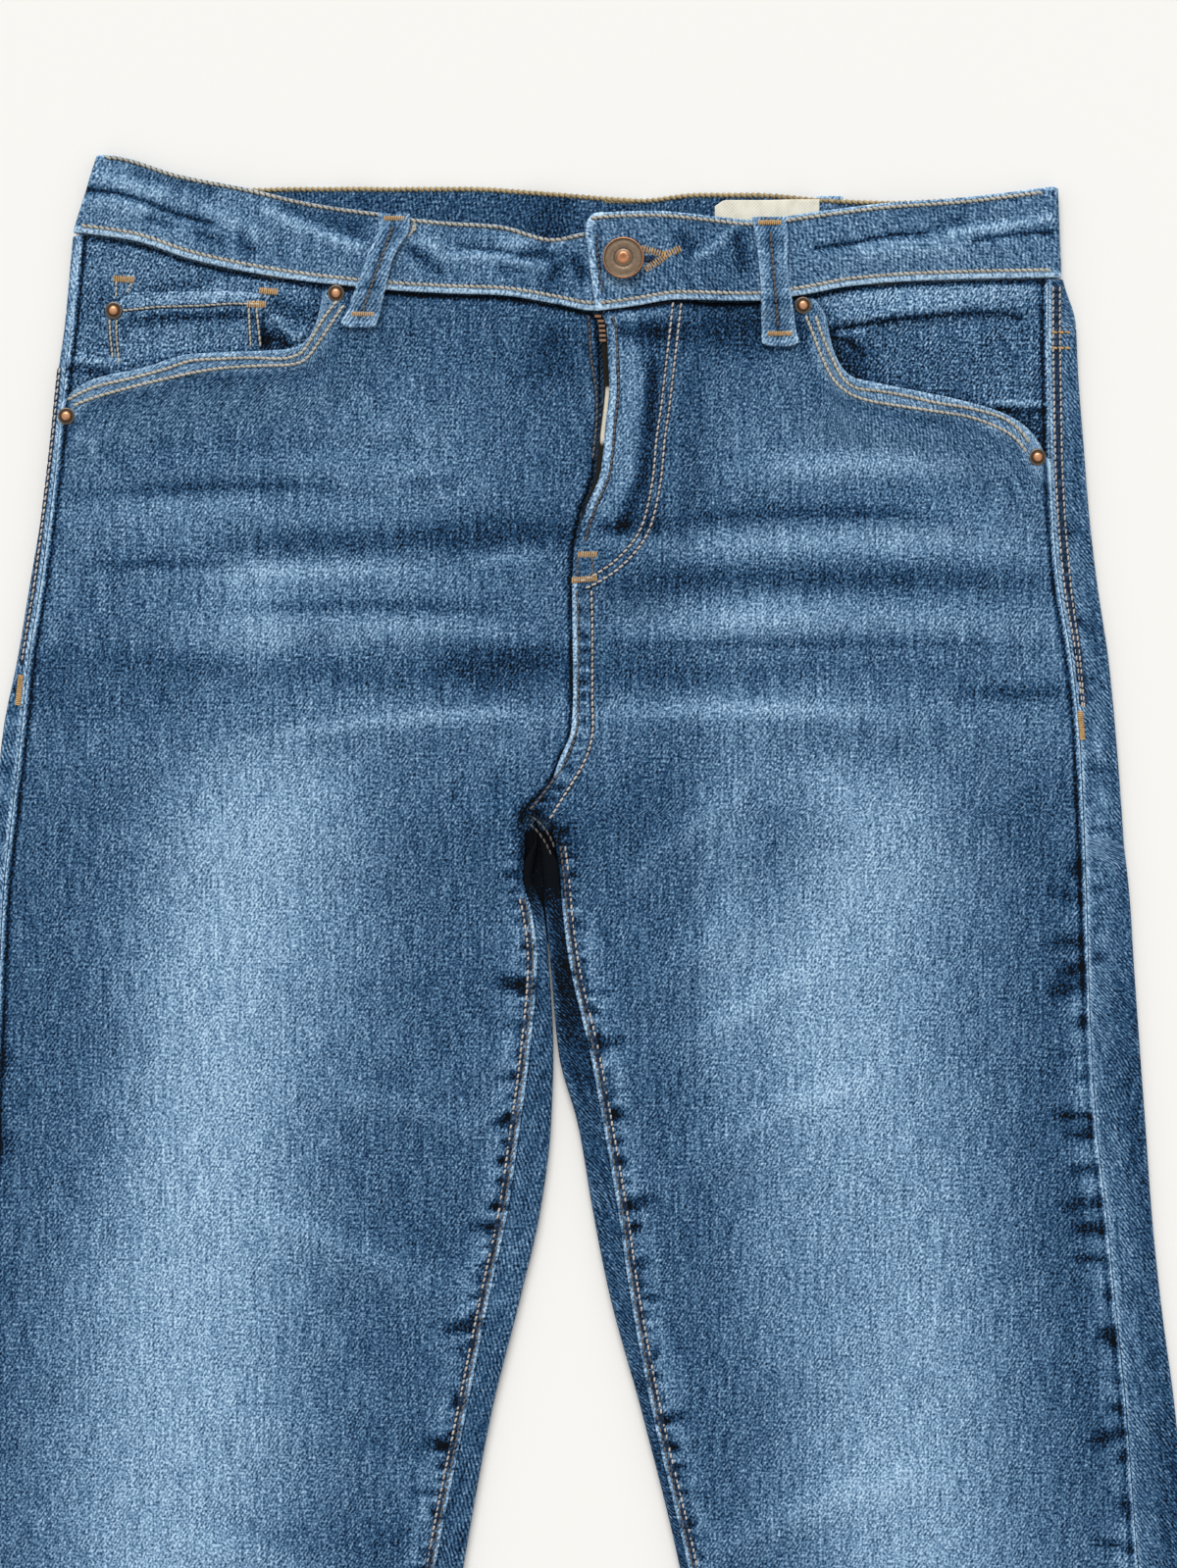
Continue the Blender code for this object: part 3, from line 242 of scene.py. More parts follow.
def denim(name, ribs=0.3, weave=0.9, weft=0.5, slub=0.35, mottle=0.3):
    """Washed stretch twill. The blue runs from dark to pale along tone plus the cloth's grains: the twill's
    diagonal ribs, which fade in and out, the fine speckle of white weft between blue warp, short flecks
    along the weft, long slubs down the warp, and cloudy mottling. Below the darkest blue it runs to the
    near black of painted shade."""
    recipe = Recipe(name, 0.9)
    cloth = recipe.node("UVMap", uv_map="cloth")
    tone = recipe.node("Attribute", out="Fac", attribute_name="tone")
    u = recipe.node("SeparateXYZ", {0: cloth}, out=0)
    v = recipe.node("SeparateXYZ", {0: cloth}, out=1)
    wander = grain(recipe, cloth, 240.0, 240.0, 1.0, 31.0) * 6.0
    lines = (u * TWILL_TURNS[0] - v * TWILL_TURNS[1] + wander).sine()
    lines = lines * grain(recipe, cloth, 90.0, 60.0, 1.0, 17.0)
    speckle = grain(recipe, cloth, 1000.0, 900.0, 1.0, 11.0) - 0.5
    flecks = grain(recipe, cloth, 330.0, 1000.0, 1.0, 5.3) - 0.5
    warp = grain(recipe, cloth, 780.0, 48.0, 2.0) - 0.5
    clouds = grain(recipe, cloth, 190.0, 110.0, 4.0, 23.0) - 0.5
    grains = lines * ribs + speckle * weave + flecks * weft + warp * slub + clouds * mottle
    stops = [(0.0, light_value(*SHADE))]
    stops += [(0.1 + 0.18 * k, light_value(*blue)) for k, blue in enumerate(BLUES)]
    level = (tone * 0.6 + 0.105 + grains) * 0.9 + 0.1
    recipe.colours(stops, level)
    recipe.bump(lines * 0.6 + speckle * 1.4 + warp * 0.6, 0.5, 0.00025)
    return recipe.material


def thread(name, colour):
    """Twisted cotton thread: its colour with a fine dark twist along it and worn places."""
    recipe = Recipe(name, 0.75)
    at = recipe.node("TexCoord", out="Object")
    twist = recipe.node("TexNoise", {"Vector": at, "Scale": 900.0, "Detail": 2.0})
    wear = recipe.node("TexNoise", {"Vector": at, "Scale": 60.0, "Detail": 2.0})
    dark = tuple(0.35 * part for part in colour)
    light = tuple(min(1.0, 1.35 * part) for part in colour)
    stops = ((0.25, dark), (0.5, colour), (0.8, light))
    recipe.colours(stops, twist * 0.6 + wear * 0.4)
    return recipe.material


def put_mesh(name, points, faces, finish, smooth=True):
    """A mesh object from arrays of points and of faces with the same number of corners."""
    mesh = bpy.data.meshes.new(name)
    corners = faces.shape[1]
    mesh.vertices.add(len(points))
    mesh.vertices.foreach_set("co", points.astype(np.float32).ravel())
    mesh.loops.add(faces.size)
    mesh.loops.foreach_set("vertex_index", faces.astype(np.int32).ravel())
    mesh.polygons.add(len(faces))
    mesh.polygons.foreach_set("loop_start", np.arange(0, faces.size, corners, dtype=np.int32))
    mesh.update(calc_edges=True)
    mesh.polygons.foreach_set("use_smooth", np.full(len(faces), smooth))
    mesh.materials.append(finish)
    piece = bpy.data.objects.new(name, mesh)
    bpy.context.collection.objects.link(piece)
    return piece


def set_tone(piece, values):
    """Store a value a point as the mesh's attribute "tone"."""
    layer = piece.data.attributes.new("tone", "FLOAT", "POINT")
    layer.data.foreach_set("value", np.asarray(values, np.float32).ravel())


def outward(points, faces):
    """The faces, turned round if the volume they enclose comes out negative."""
    a, b, c = points[faces[:, 0]], points[faces[:, 1]], points[faces[:, 2]]
    d = points[faces[:, -1]]
    volume = np.einsum("ij,ij->", a, np.cross(b, c)) + np.einsum("ij,ij->", a, np.cross(c, d))
    return faces[:, ::-1] if volume < 0 else faces


def unit(vectors):
    """The vectors, each at length 1."""
    return vectors / np.maximum(np.linalg.norm(vectors, axis=-1, keepdims=True), 1e-12)


RIM_CLOSEST = 0.12


def shell(name, x, drop, z, thickness, tone, finish, heading=0.0, solid=True):
    """A closed sheet of cloth whose middle is the grid (x, drop, z); solid if a node of that name exists.

    Each point goes half the thickness out along the normal, and half in. The two faces meet at the rim,
    where the half thickness falls on a quarter circle. The map "cloth" holds metres along the rows
    (heading gives their direction, 0 plain x) and up the garment, and "tone" the washing out with painted
    light and shade.
    """
    middle = place(x, drop, z)
    rows, cols = x.shape
    normal = unit(np.cross(np.gradient(middle, axis=1), np.gradient(middle, axis=0)))
    step = np.linalg.norm(np.diff(middle, axis=1), axis=-1)
    run = np.concatenate([np.zeros((rows, 1)), np.cumsum(step, axis=1)], axis=1)
    fall = np.linalg.norm(np.diff(middle, axis=0), axis=-1)
    depth = np.concatenate([np.zeros((1, cols)), np.cumsum(fall, axis=0)], axis=0)
    near = np.minimum(np.minimum(run, run[:, -1:] - run), np.minimum(depth, depth[-1:] - depth))
    half = np.broadcast_to(np.asarray(thickness, float) * MM / 2, (rows, cols))
    share = np.clip(near / half + RIM_CLOSEST, 0, 1)
    half = (half * np.sqrt(1 - (1 - share) ** 2))[..., None]
    points = np.concatenate([middle + normal * half, middle - normal * half]).reshape(-1, 3)
    count = rows * cols
    corner = (np.arange(rows - 1)[:, None] * cols + np.arange(cols - 1)[None, :]).ravel()
    top = np.stack([corner, corner + 1, corner + cols + 1, corner + cols], axis=-1)
    loop = np.concatenate(
        [
            np.arange(cols),
            np.arange(1, rows) * cols + cols - 1,
            (rows - 1) * cols + np.arange(cols - 2, -1, -1),
            np.arange(rows - 2, 0, -1) * cols,
        ]
    )
    after = np.roll(loop, -1)
    rim = np.stack([loop, loop + count, after + count, after], axis=-1)
    faces = outward(points, np.concatenate([top, top[:, ::-1] + count, rim]))
    piece = put_mesh(name + "_cloth" if solid else name, points, faces, finish)
    u = x[:, :1] * MM + heading * run if heading else x * MM
    cloth = np.tile(pairs(u, -drop * MM).reshape(-1, 2), (2, 1))
    layer = piece.data.uv_layers.new(name="cloth")
    layer.data.foreach_set("uv", cloth[faces.ravel()].astype(np.float32).ravel())
    set_tone(piece, np.tile(np.broadcast_to(tone, (rows, cols)).ravel(), 2))
    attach(piece, "root")
    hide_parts(*([name] if solid else []))


def shares(length, step):
    """Grid shares for a length: even steps, with closer ones by both ends for a round edge."""
    close = np.array([0.0, 0.1, 0.28, 0.6]) / length
    even = np.linspace(0, 1, max(3, int(round(length / step)) + 1))[1:-1]
    even = even[(even > 1.6 * close[-1]) & (even < 1 - 1.6 * close[-1])]
    return np.concatenate([close, even, 1 - close[::-1]])


def share_grid(depth, down_step, width, across_step):
    """Shares down and across a piece of this size, on a grid."""
    return np.meshgrid(shares(depth, down_step), shares(width, across_step), indexing="ij")


STITCH_SIDES = 5
STITCH_RISE = 0.275
STITCH_RINGS = ((0.0, 0.4), (0.18, 0.95), (0.82, 0.95), (1.0, 0.4))


def along_path(path, pitch):
    """Points at even steps along a path of (x, drop), and how far along each lies."""
    path = np.asarray(path, float)
    span = np.hypot(*np.diff(path, axis=0).T)
    far = np.concatenate([[0.0], np.cumsum(span)])
    at = np.arange(0.5 * pitch, far[-1] - 0.4 * pitch, pitch)
    return at, far, path


def sew(name, rows, finish, flat=0.8, slant=0.3):
    """One mesh of stitches. A row is (path, surface, pitch, length, width): each stitch is a short bar of
    thread along the path, its ends sunk in the surface(x, drop) and its middle standing on it. flat is its
    height over its width, slant how far its ends stand to either side, in widths."""
    all_points = []
    turn = np.linspace(0, 2 * math.pi, STITCH_SIDES, endpoint=False)
    for path, surface, pitch, length, width in rows:
        at, far, path = along_path(path, pitch)
        ends = []
        for shift in (-0.5, 0.5):
            here = at + shift * length
            x = np.interp(here, far, path[:, 0])
            drop = np.interp(here, far, path[:, 1])
            ends.append(place(x, drop, surface(x, drop)))
        start, stop = ends
        line = stop - start
        side = unit(np.cross(line, np.array([0.0, 0.0, 1.0])))
        up = unit(np.cross(side, line))
        for share, thick in STITCH_RINGS:
            lean = slant * width * MM * (share - 0.5)
            rise = STITCH_RISE * width * thick * flat * MM
            centre = start + line * share + side * lean + up * rise
            beside = side[:, None, :] * np.cos(turn)[None, :, None]
            above = flat * up[:, None, :] * np.sin(turn)[None, :, None]
            all_points.append(centre[:, None, :] + width * thick * MM / 2 * (beside + above))
    count = len(STITCH_RINGS)
    blocks = [np.stack(all_points[k : k + count], axis=1) for k in range(0, len(all_points), count)]
    points = np.concatenate(blocks).reshape(-1, 3)
    bars = len(points) // (count * STITCH_SIDES)
    step = np.arange(STITCH_SIDES)
    after = (step + 1) % STITCH_SIDES
    faces = []
    for ring in range(count - 1):
        low, high = ring * STITCH_SIDES, (ring + 1) * STITCH_SIDES
        faces.append(np.stack([low + step, low + after, high + after], axis=-1))
        faces.append(np.stack([low + step, high + after, high + step], axis=-1))
    last = (count - 1) * STITCH_SIDES
    for k in range(1, STITCH_SIDES - 1):
        faces.append(np.array([[0, k + 1, k]]))
        faces.append(np.array([[last, last + k, last + k + 1]]))
    one = np.concatenate(faces)
    whole = (one[None] + (np.arange(bars) * count * STITCH_SIDES)[:, None, None]).reshape(-1, 3)
    piece = put_mesh(name, points, outward(points, whole), finish)
    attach(piece, "root")


# Painted shade in the grooves under the rows of stitches: the dark strips' step and colours
GROOVE_STEP = 5.0
GROOVE_TONES = ((0.3, (12, 24, 40)), (0.55, (34, 54, 80)), (0.75, (84, 114, 146)))
groove_recipe = Recipe("painted_groove_shade", 0.95)
groove_at = groove_recipe.node("TexCoord", out="Object")
groove_noise = groove_recipe.node("TexNoise", {"Vector": groove_at, "Scale": 700.0, "Detail": 3.0})
groove_recipe.colours([(at, light_value(*seen)) for at, seen in GROOVE_TONES], groove_noise)


def paint_groove_shade(name, rows):
    """Painted shade in the grooves under rows of stitches: flat overlapping dark strips. A row is (path,
    surface, width).
    """
    bars = [(path, surface, GROOVE_STEP, 1.2 * GROOVE_STEP, width) for path, surface, width in rows]
    sew(name, bars, groove_recipe.material, flat=0.1, slant=0.0)


def lerp(a, b, t):
    """The point a share t of the way from a to b."""
    return a + (b - a) * t


def level_line(value):
    """A surface at one height."""
    return lambda x, drop: value + 0.0 * x


def pairs(first, second):
    """Points of two coordinates, from an array of each."""
    return np.stack([first, second], axis=-1)


def lifted(surface, rise):
    """The surface, so much higher."""
    return lambda x, drop: surface(x, drop) + rise


underside = level_line(-0.15)
denim_back = denim("denim_dark_back", ribs=0.32, weave=1.0, weft=0.5, slub=0.5, mottle=0.4)
tan_thread = thread("thread_tan", TAN_THREAD)
gold_thread = thread("thread_gold", GOLD_THREAD)
rope_thread = thread("thread_rope", ROPE_THREAD)
cream_thread = thread("thread_cream", CREAM_THREAD)
brown_thread = thread("thread_brown", BROWN_THREAD)

back_pocket_rows = []
for name, middle_x, mouth, width, depth, point in BACK_POCKETS:
    down, across = share_grid(136, 2.6, 122, 2.6)

    def pocket_place(down, across):
        """x and drop on the pocket: it narrows down, and its foot comes to a blunt point."""
        x = middle_x + width * (1 - BACK_POCKET_TAPER * down) * (across - 0.5)
        return x, mouth + (depth - point * np.abs(2 * across - 1)) * down

    x, drop = pocket_place(down, across)
    border = np.minimum(np.minimum(across, 1 - across) * 116, (1 - down) * 120)
    seat = np.exp(-(((across - 0.5) / 0.42) ** 2) - ((down - 0.55) / 0.4) ** 2)
    tone = 0.3 + 0.34 * seat + 0.28 * bell(border, 1.2) - 0.12 * bell(border - 5, 3)
    tone += 0.2 * bell(down * 136, 1.5)
    shell(name, x, drop, DENIM / 2, DENIM, tone, denim_back)
    for inset in (3.0, 9.0):
        side_share = inset / 120
        turn_down = 1 - inset / 128
        spots = [(0.02, side_share), (turn_down, side_share), (turn_down, 0.5), (turn_down, 1 - side_share)]
        spots.append((0.02, 1 - side_share))
        path = [pocket_place(a, b) for a, b in spots]
        back_pocket_rows.append((path, underside, 3.2, 2.6, 0.62))
    hem_path = [pocket_place(0.13, 0.03), pocket_place(0.13, 0.97)]
    back_pocket_rows.append((hem_path, underside, 3.2, 2.6, 0.62))
sew("back_pocket_stitching", back_pocket_rows, tan_thread)

# ---- Back belt loops ----
# Three straps of folded denim across the back waistband, flat on the surface. Each has two rows of cover
# stitch down it and a bar of zigzag at both ends.

LOOP_STRAP = 1.4
LOOP_WIDTH = 11.0
# Name, x, and the drops of head and foot
BACK_LOOPS = (
    ("belt_loop_back_right", -106, -11.5, 39), ("belt_loop_back_centre", 0, -8.0, 40),
    ("belt_loop_back_left", 105.5, -8, 39),
)
denim_trim = denim("denim_trim")


def bar_tack(first, last, surface, width, pitch=0.75):
    """Rows for a bar of close zigzag from first to last: short threads across the line between them."""
    first, last = np.array([first, last], float)
    length = math.hypot(*(last - first))
    out = np.array([first[1] - last[1], last[0] - first[0]]) / length * width / 2
    rows = []
    for share in np.arange(0.5 * pitch, length, pitch) / length:
        middle = lerp(first, last, share)
        rows.append((np.array([middle - out, middle + out]), surface, width, 0.98 * width, 0.75))
    return rows


def one_stitch(rows):
    """The same rows with each path taken as a single stitch."""
    return [(path, surface, pitch * 1.001, length, width) for path, surface, pitch, length, width in rows]


loop_rows = []
for name, middle_x, head, foot in BACK_LOOPS:
    down, across = share_grid(50, 1.6, LOOP_WIDTH, 1.1)
    x = middle_x + LOOP_WIDTH * (across - 0.5)
    drop = lerp(head, foot, down)
    border = np.minimum(across, 1 - across) * LOOP_WIDTH
    tone = 0.42 + 0.45 * bell(border, 1.1) - 0.1 * np.sin(0.9 * drop) + 0.5 * bell(down, 0.06)
    shell(name, x, drop, LOOP_STRAP / 2, LOOP_STRAP, tone, denim_trim)
    for x in (middle_x - 2.2, middle_x + 2.2):
        loop_rows.append((((x, head + 2), (x, foot - 2)), underside, 2.8, 2.3, 0.55))
    for end in (head + 2.5, foot - 3):
        loop_rows += one_stitch(bar_tack((middle_x - 4.6, end), (middle_x + 4.6, end), underside, 1.6))
sew("back_loop_stitching", loop_rows, tan_thread)

# ---- Back panels ----
# Each back is one cut of denim from the yoke to the hem. It lies flat on the surface and comes up round
# both folds of the leg to the side seam and the inseam, so a strip of it shows beside the front.

HEM_WALL = 2.0
HEM_DEPTH = 14.0
HEM_STEP = 4.0
HEAD_GAP = 0.8
LAYER_GAP = 0.5
FOLD_HEIGHT = 4.2
FOLD_SPREAD = 20.0
WRAP_REACH = 12.0
WRAP_FLAT_PART = 0.2
WRAP_ARC_PART = 0.5
BRIDGE = 8.0
BRIDGE_SOFTENING = 3.0
BAND_RISE = 1.2
BAND_RISE_SPREAD = 26.0
HALF_HIP = 205.0
CROTCH_DROP = 249.5
CROTCH_TURN_START = 253.0
CROTCH_TURN = 18.0
CROTCH_PUFF = 8.0
YOKE_SIDE_DROP = {"right": 41.0, "left": 47.5}
YOKE_CENTRE_DROP = 86.0
BACK_LEVEL_ROW = 112.0
SPREAD_INNER_END = 0.03
SPREAD_FLAT = (0.06, 0.94)
SPREAD_OUTER = (0.94, 0.97)
LEG_COLUMNS = ("drop", "outer", "side_seam", "inner", "inseam")
RIGHT_LEG = (
    (-30, -200, -197, -17.5, -22.2), (2, -209, -206, -17.5, -22.2), (16, -210.5, -207.5, -17.5, -22.2),
    (48, -213.5, -210.5, -17.5, -22.2), (64, -215.8, -212.5, -17.5, -22.2),
    (100, -219.5, -216.2, -17.5, -22.2), (125, -223, -219.2, -17.5, -22.2),
    (155, -228, -223.2, -17.5, -22.2), (185, -233, -228, -17.5, -22.2), (215, -239, -231.2, -17.5, -22.2),
    (250, -242.5, -235, -17.5, -22.2), (262, -243.3, -236.4, -16.2, -21.4),
    (276, -244.2, -238, -18.4, -22.3), (290, -245, -239, -13.8, -18.6), (310, -246, -240, -11.6, -16.3),
    (350, -248.5, -241.5, -9.6, -19.5), (380, -250, -242.5, -10.6, -23.5), (415, -252, -244.5, -15, -28.5),
    (450, -254, -246, -23, -36), (500, -257, -248.5, -35.5, -46), (560, -260, -251.5, -46.5, -58),
    (640, -262.5, -254, -60, -70), (720, -265.5, -257.5, -73, -82), (800, -268.5, -261, -85, -93),
    (900, -273, -266.5, -99.5, -106), (1014, -278.5, -273, -113.5, -119),
)
LEFT_LEG = (
    (-30, 200.5, 195, -17.2, -12), (12, 201.5, 196, -17.2, -12), (26, 202.5, 196.2, -17.2, -12),
    (46, 208, 196.2, -17.2, -12), (64, 208.8, 196.4, -17.2, -12), (100, 211.5, 197, -17.2, -12),
    (125, 213.5, 198.2, -17.2, -12), (155, 217, 201, -17.2, -12), (185, 221.5, 206, -17.2, -12),
    (215, 224.5, 209.2, -17.2, -12), (250, 227.2, 211, -17.2, -12), (262, 228, 211.5, -15.6, -9),
    (276, 229.6, 212, -14.2, -7.2), (290, 230.8, 212.5, -13.2, -6), (310, 232, 213, -11.3, -3.5),
    (350, 234.8, 214.5, -7.6, 5.5), (380, 237, 216.5, 0.5, 11), (415, 239.5, 220.5, 6.5, 17),
    (450, 243, 224, 13.5, 22), (500, 249.5, 229, 27.2, 31.5), (560, 255, 233.5, 42, 45.5),
    (640, 260.5, 240.5, 57.5, 61.5), (720, 265, 247, 71.5, 76.5), (800, 269, 253.5, 84.5, 90.5),
    (900, 273.5, 261, 99, 105), (1014, 279, 269.5, 113.5, 119.5),
)
CENTRE_BACK = ((-30, 0), (30, 0), (150, -3), (240, -13), (249.5, -17.2), (300, -17.2))
BAND_FOOT_RIGHT = (
    (-210, 7.5), (-185, 11), (-160, 19), (-133.5, 25), (-107, 29), (-76.5, 32), (-56.5, 33), (-32, 34),
    (-7, 38), (6.5, 40.5), (48, 34),
)
BAND_FOOT_LEFT = (
    (8, 41), (12, 40.5), (23.5, 39), (43.5, 36), (74.5, 36.5), (91.5, 34.5), (116.5, 30), (142, 28),
    (167.5, 27), (202, 26.5),
)
# Ridges and hollows: x, drop, half length, half width, height, then turn in degrees and bow if not 0
FRONT_FOLDS = (
    (-135, 147, 75, 13, -0.6, 0, 5), (-115, 167, 80, 13, 0.6, 2, 6), (-95, 208, 95, 14, 0.7, -3, 7),
    (112, 146, 80, 13, -0.6, 0, 6), (118, 166, 78, 13, 0.6, -2, 6), (110, 207, 95, 14, 0.7, 3, 7),
    (22, 92, 36, 4.5, 0.9, 90), (30.5, 88, 28, 4, -0.8, 90), (30, 52, 11, 6, -0.6),
    (-14, 257, 10, 10, -1.5), (30, 322, 42, 8, 0.8, -42, 4), (58, 305, 45, 9, 0.5, -38, 4),
    (22, 352, 24, 6, 0.6, -30, 2), (46, 400, 34, 8, 0.5, -20, 2), (-44, 356, 28, 8, 0.6, -14, 2),
    (-60, 420, 40, 9, -0.5, 24, 3), (-80, 442, 46, 10, 0.6, 22, 3), (-108, 512, 48, 11, 0.5, 18, 3),
    (110, 470, 46, 11, 0.5, -16, 3), (-170, 610, 60, 13, 0.8, 10, 4), (160, 625, 62, 13, 0.8, -8, 4),
    (-150, 655, 54, 12, 0.6, -8, 4), (190, 668, 50, 12, 0.6, 10, 4),
)
# Finer creases than the solids carry, given in the same way; on the fronts they also make the crests
# paler from wear and the dents darker as painted shade
CREASES = (
    (-128, 96, 70, 5, -0.3, 0, 3), (-128, 114, 70, 6, -0.25, 2, 4), (-60, 183, 60, 7, -0.25, 4, 3),
    (-40, 128, 40, 6, -0.2, 3, 3), (120, 97, 65, 5, -0.3, 0, 3), (118, 113, 75, 6, -0.25, -2, 4),
    (60, 183, 55, 7, -0.25, -4, 3), (165, 84, 22, 4, -0.35, 0, 2), (150, 128, 30, 5, 0.3, 4, 3),
    (40, 262, 34, 5, 0.35, -40, 3), (70, 330, 34, 5, 0.35, -34, 3), (-30, 372, 24, 4, 0.3, -24, 2),
    (-70, 372, 40, 6, 0.3, 12, 3), (-96, 430, 42, 6, 0.35, 24, 3), (86, 372, 40, 6, 0.3, -22, 3),
    (104, 536, 46, 7, 0.35, -18, 3), (-122, 562, 52, 7, 0.35, 14, 3), (-196, 575, 44, 8, 0.35, -12, 3),
    (206, 596, 44, 8, 0.35, 14, 3), (-180, 700, 60, 10, 0.4, 6, 3), (-140, 760, 40, 9, 0.35, -12, 3),
    (172, 716, 58, 10, 0.4, -8, 3), (214, 800, 34, 9, 0.35, 10, 3), (-190, 905, 60, 12, 0.5, -5, 3),
    (186, 895, 60, 12, 0.5, 6, 3), (-198, 972, 66, 8, 0.4, 3, 2), (194, 968, 66, 8, 0.4, -4, 2),
)
# What lies under the backs raises them: margin, ramp and rise
POCKET_UNDER = (13.0, 15.0, DENIM + SEAM_GAP)
LOOP_UNDER = (9.0, 13.0, LOOP_STRAP + SEAM_GAP)


def smooth(table, at, column=1):
    """A monotone cubic through one column of a table, against the table's first column."""
    data = np.array(table, float)
    xs, ys = data[:, 0], data[:, column]
    step = np.diff(xs)
    rise = np.diff(ys) / step
    slope = np.zeros_like(ys)
    same = rise[:-1] * rise[1:] > 0
    pair = np.where(same, rise[:-1] + rise[1:], 1.0)
    slope[1:-1] = np.where(same, 2 * rise[:-1] * rise[1:] / pair, 0.0)
    slope[0] = rise[0]
    slope[-1] = rise[-1]
    at = np.clip(at, xs[0], xs[-1])
    k = np.clip(np.searchsorted(xs, at, side="right") - 1, 0, len(step) - 1)
    h = step[k]
    t = (at - xs[k]) / h
    start = (1 + 2 * t) * (1 - t) ** 2 * ys[k] + t * (1 - t) ** 2 * h * slope[k]
    end = t * t * (3 - 2 * t) * ys[k + 1] - t * t * (1 - t) * h * slope[k + 1]
    return start + end


def leg(side, name, drop):
    """One column of a leg's table at the drop."""
    return smooth(RIGHT_LEG if side == "right" else LEFT_LEG, drop, LEG_COLUMNS.index(name))


def edge(table, x):
    """Drop of a waistband edge at x."""
    return smooth(table, x)


def band_foot_front(x):
    """Drop of the waistband's lower edge on the front."""
    right = edge(BAND_FOOT_RIGHT, x)
    left = edge(BAND_FOOT_LEFT, x)
    return np.where(x < 8.0, right, left)


def wall_at(drop):
    """Cloth thickness: the hem is folded double."""
    return DENIM + (HEM_WALL - DENIM) * ease((drop - HEM_DROP + HEM_DEPTH) / HEM_STEP + 1)


def folds(table, x, drop):
    """Sum of the table's ridges: each is a Gaussian across a bowed line that dies out at its ends."""
    total = 0.0 * (x + drop)
    for row in table:
        middle_x, middle_drop, half_length, half_width, height, degrees, bow = (*row, 0, 0)[:7]
        turn = math.radians(degrees)
        dx = x - middle_x
        dd = drop - middle_drop
        along = (dx * math.cos(turn) + dd * math.sin(turn)) / half_length
        across = dd * math.cos(turn) - dx * math.sin(turn) - bow * along**2
        total = total + height * np.exp(-((across / half_width) ** 2) - along**4)
    return total


def gathers(seed, first, last, spacing, reach, strength):
    """A seam's uneven gathers between two drops: rows of drop, reach, half width, strength, slope."""
    random = np.random.default_rng(seed)
    count = max(2, int((last - first) / spacing))
    drops = np.linspace(first, last, count) + random.uniform(-0.42, 0.42, count) * spacing
    return np.stack(
        [
            drops,
            reach * random.uniform(0.35, 1.4, count),
            0.22 * spacing * random.uniform(0.5, 1.5, count),
            strength * random.uniform(0.25, 1.0, count),
            random.uniform(-0.35, 0.35, count),
        ],
        axis=-1,
    )


SIDE_FRONT = {"left": gathers(3, 276, 1000, 12, 17, 1.2), "right": gathers(4, 330, 1000, 22, 9, 0.4)}
SIDE_STRIP = {"left": gathers(5, 130, 310, 9.6, 12, 1.0), "right": gathers(6, 196, 1000, 12, 10, 0.8)}
INSEAM_FRONT = {"left": gathers(7, 296, 1000, 9.0, 15, 1.1), "right": gathers(8, 306, 1000, 9.0, 15, 1.1)}


def dents(marks, away, drop):
    """How deep a seam's gathers are: each is a Gaussian across a short line that starts at the seam
    (away 0), slopes a little, and dies out at its reach."""
    total = 0.0 * (away + drop)
    for at, reach, half, strength, slope in marks:
        line = bell(drop - at - slope * away, half)
        total = total + strength * line * ease((reach - away) / (0.6 * reach)) * ease(away / 1.6 + 0.3)
    return np.where(away > 0, total, 0.0)


def seam_gathers(side, x, drop):
    """Depth of all the gathers of a leg at a point, from its distance to the side seam and the inseam."""
    out = WAY[side] * (x - leg(side, "side_seam", drop))
    total = dents(SIDE_FRONT[side], -out, drop) + dents(SIDE_STRIP[side], out - 1.0, drop)
    return total + dents(INSEAM_FRONT[side], WAY[side] * (x - leg(side, "inseam", drop)), drop)


GATHER_DEPTH = 0.4
SIDE_RIDGE = 0.35
SIDE_RIDGE_HALF = 1.4


def relief(x, drop):
    """The fine folds and gathers of the front layer, millimetres."""
    side_ridge = 0.0 * (x + drop)
    total = 1.6 * folds(CREASES, x, drop)
    for side in SIDES:
        own = WAY[side] * x > -8
        total = total - GATHER_DEPTH * np.where(own, seam_gathers(side, x, drop), 0.0)
        away = (x - leg(side, "side_seam", drop) - WAY[side] * 0.3) / SIDE_RIDGE_HALF
        side_ridge = np.maximum(side_ridge, SIDE_RIDGE * bell(away, 1.0))
    return total + side_ridge


def box_distance(x, drop, middle_x, middle_drop, width, depth):
    """Distance outside an upright rectangle."""
    dx = np.maximum(np.abs(x - middle_x) - width / 2, 0)
    dd = np.maximum(np.abs(drop - middle_drop) - depth / 2, 0)
    return np.hypot(dx, dd)


def rise_over(away, row, beyond):
    """Rise of the cloth at a distance from a piece that lies under it."""
    margin, ramp, rise = row
    return rise * (1 - ease((away - margin - beyond) / (ramp + BRIDGE_SOFTENING * beyond)))


def under(x, drop, beyond=0.0):
    """How far the underside rises over the back pockets and the back belt loops.

    beyond widens the raised places and softens their edges, for a layer that bridges over them.
    """
    total = 0.0 * (x + drop)
    for _, middle_x, mouth, width, depth, _ in BACK_POCKETS:
        away = box_distance(x, drop, middle_x, mouth + depth / 2, width, depth)
        total = np.maximum(total, rise_over(away, POCKET_UNDER, beyond))
    for _, middle_x, head, foot in BACK_LOOPS:
        away = box_distance(x, drop, middle_x, (head + foot) / 2, LOOP_WIDTH, foot - head)
        total = np.maximum(total, rise_over(away, LOOP_UNDER, beyond))
    return total


def crotch_share(drop):
    """0 above the crotch, 1 below it: how far the back wraps up to the inseam."""
    return ease((drop - CROTCH_TURN_START) / CROTCH_TURN)


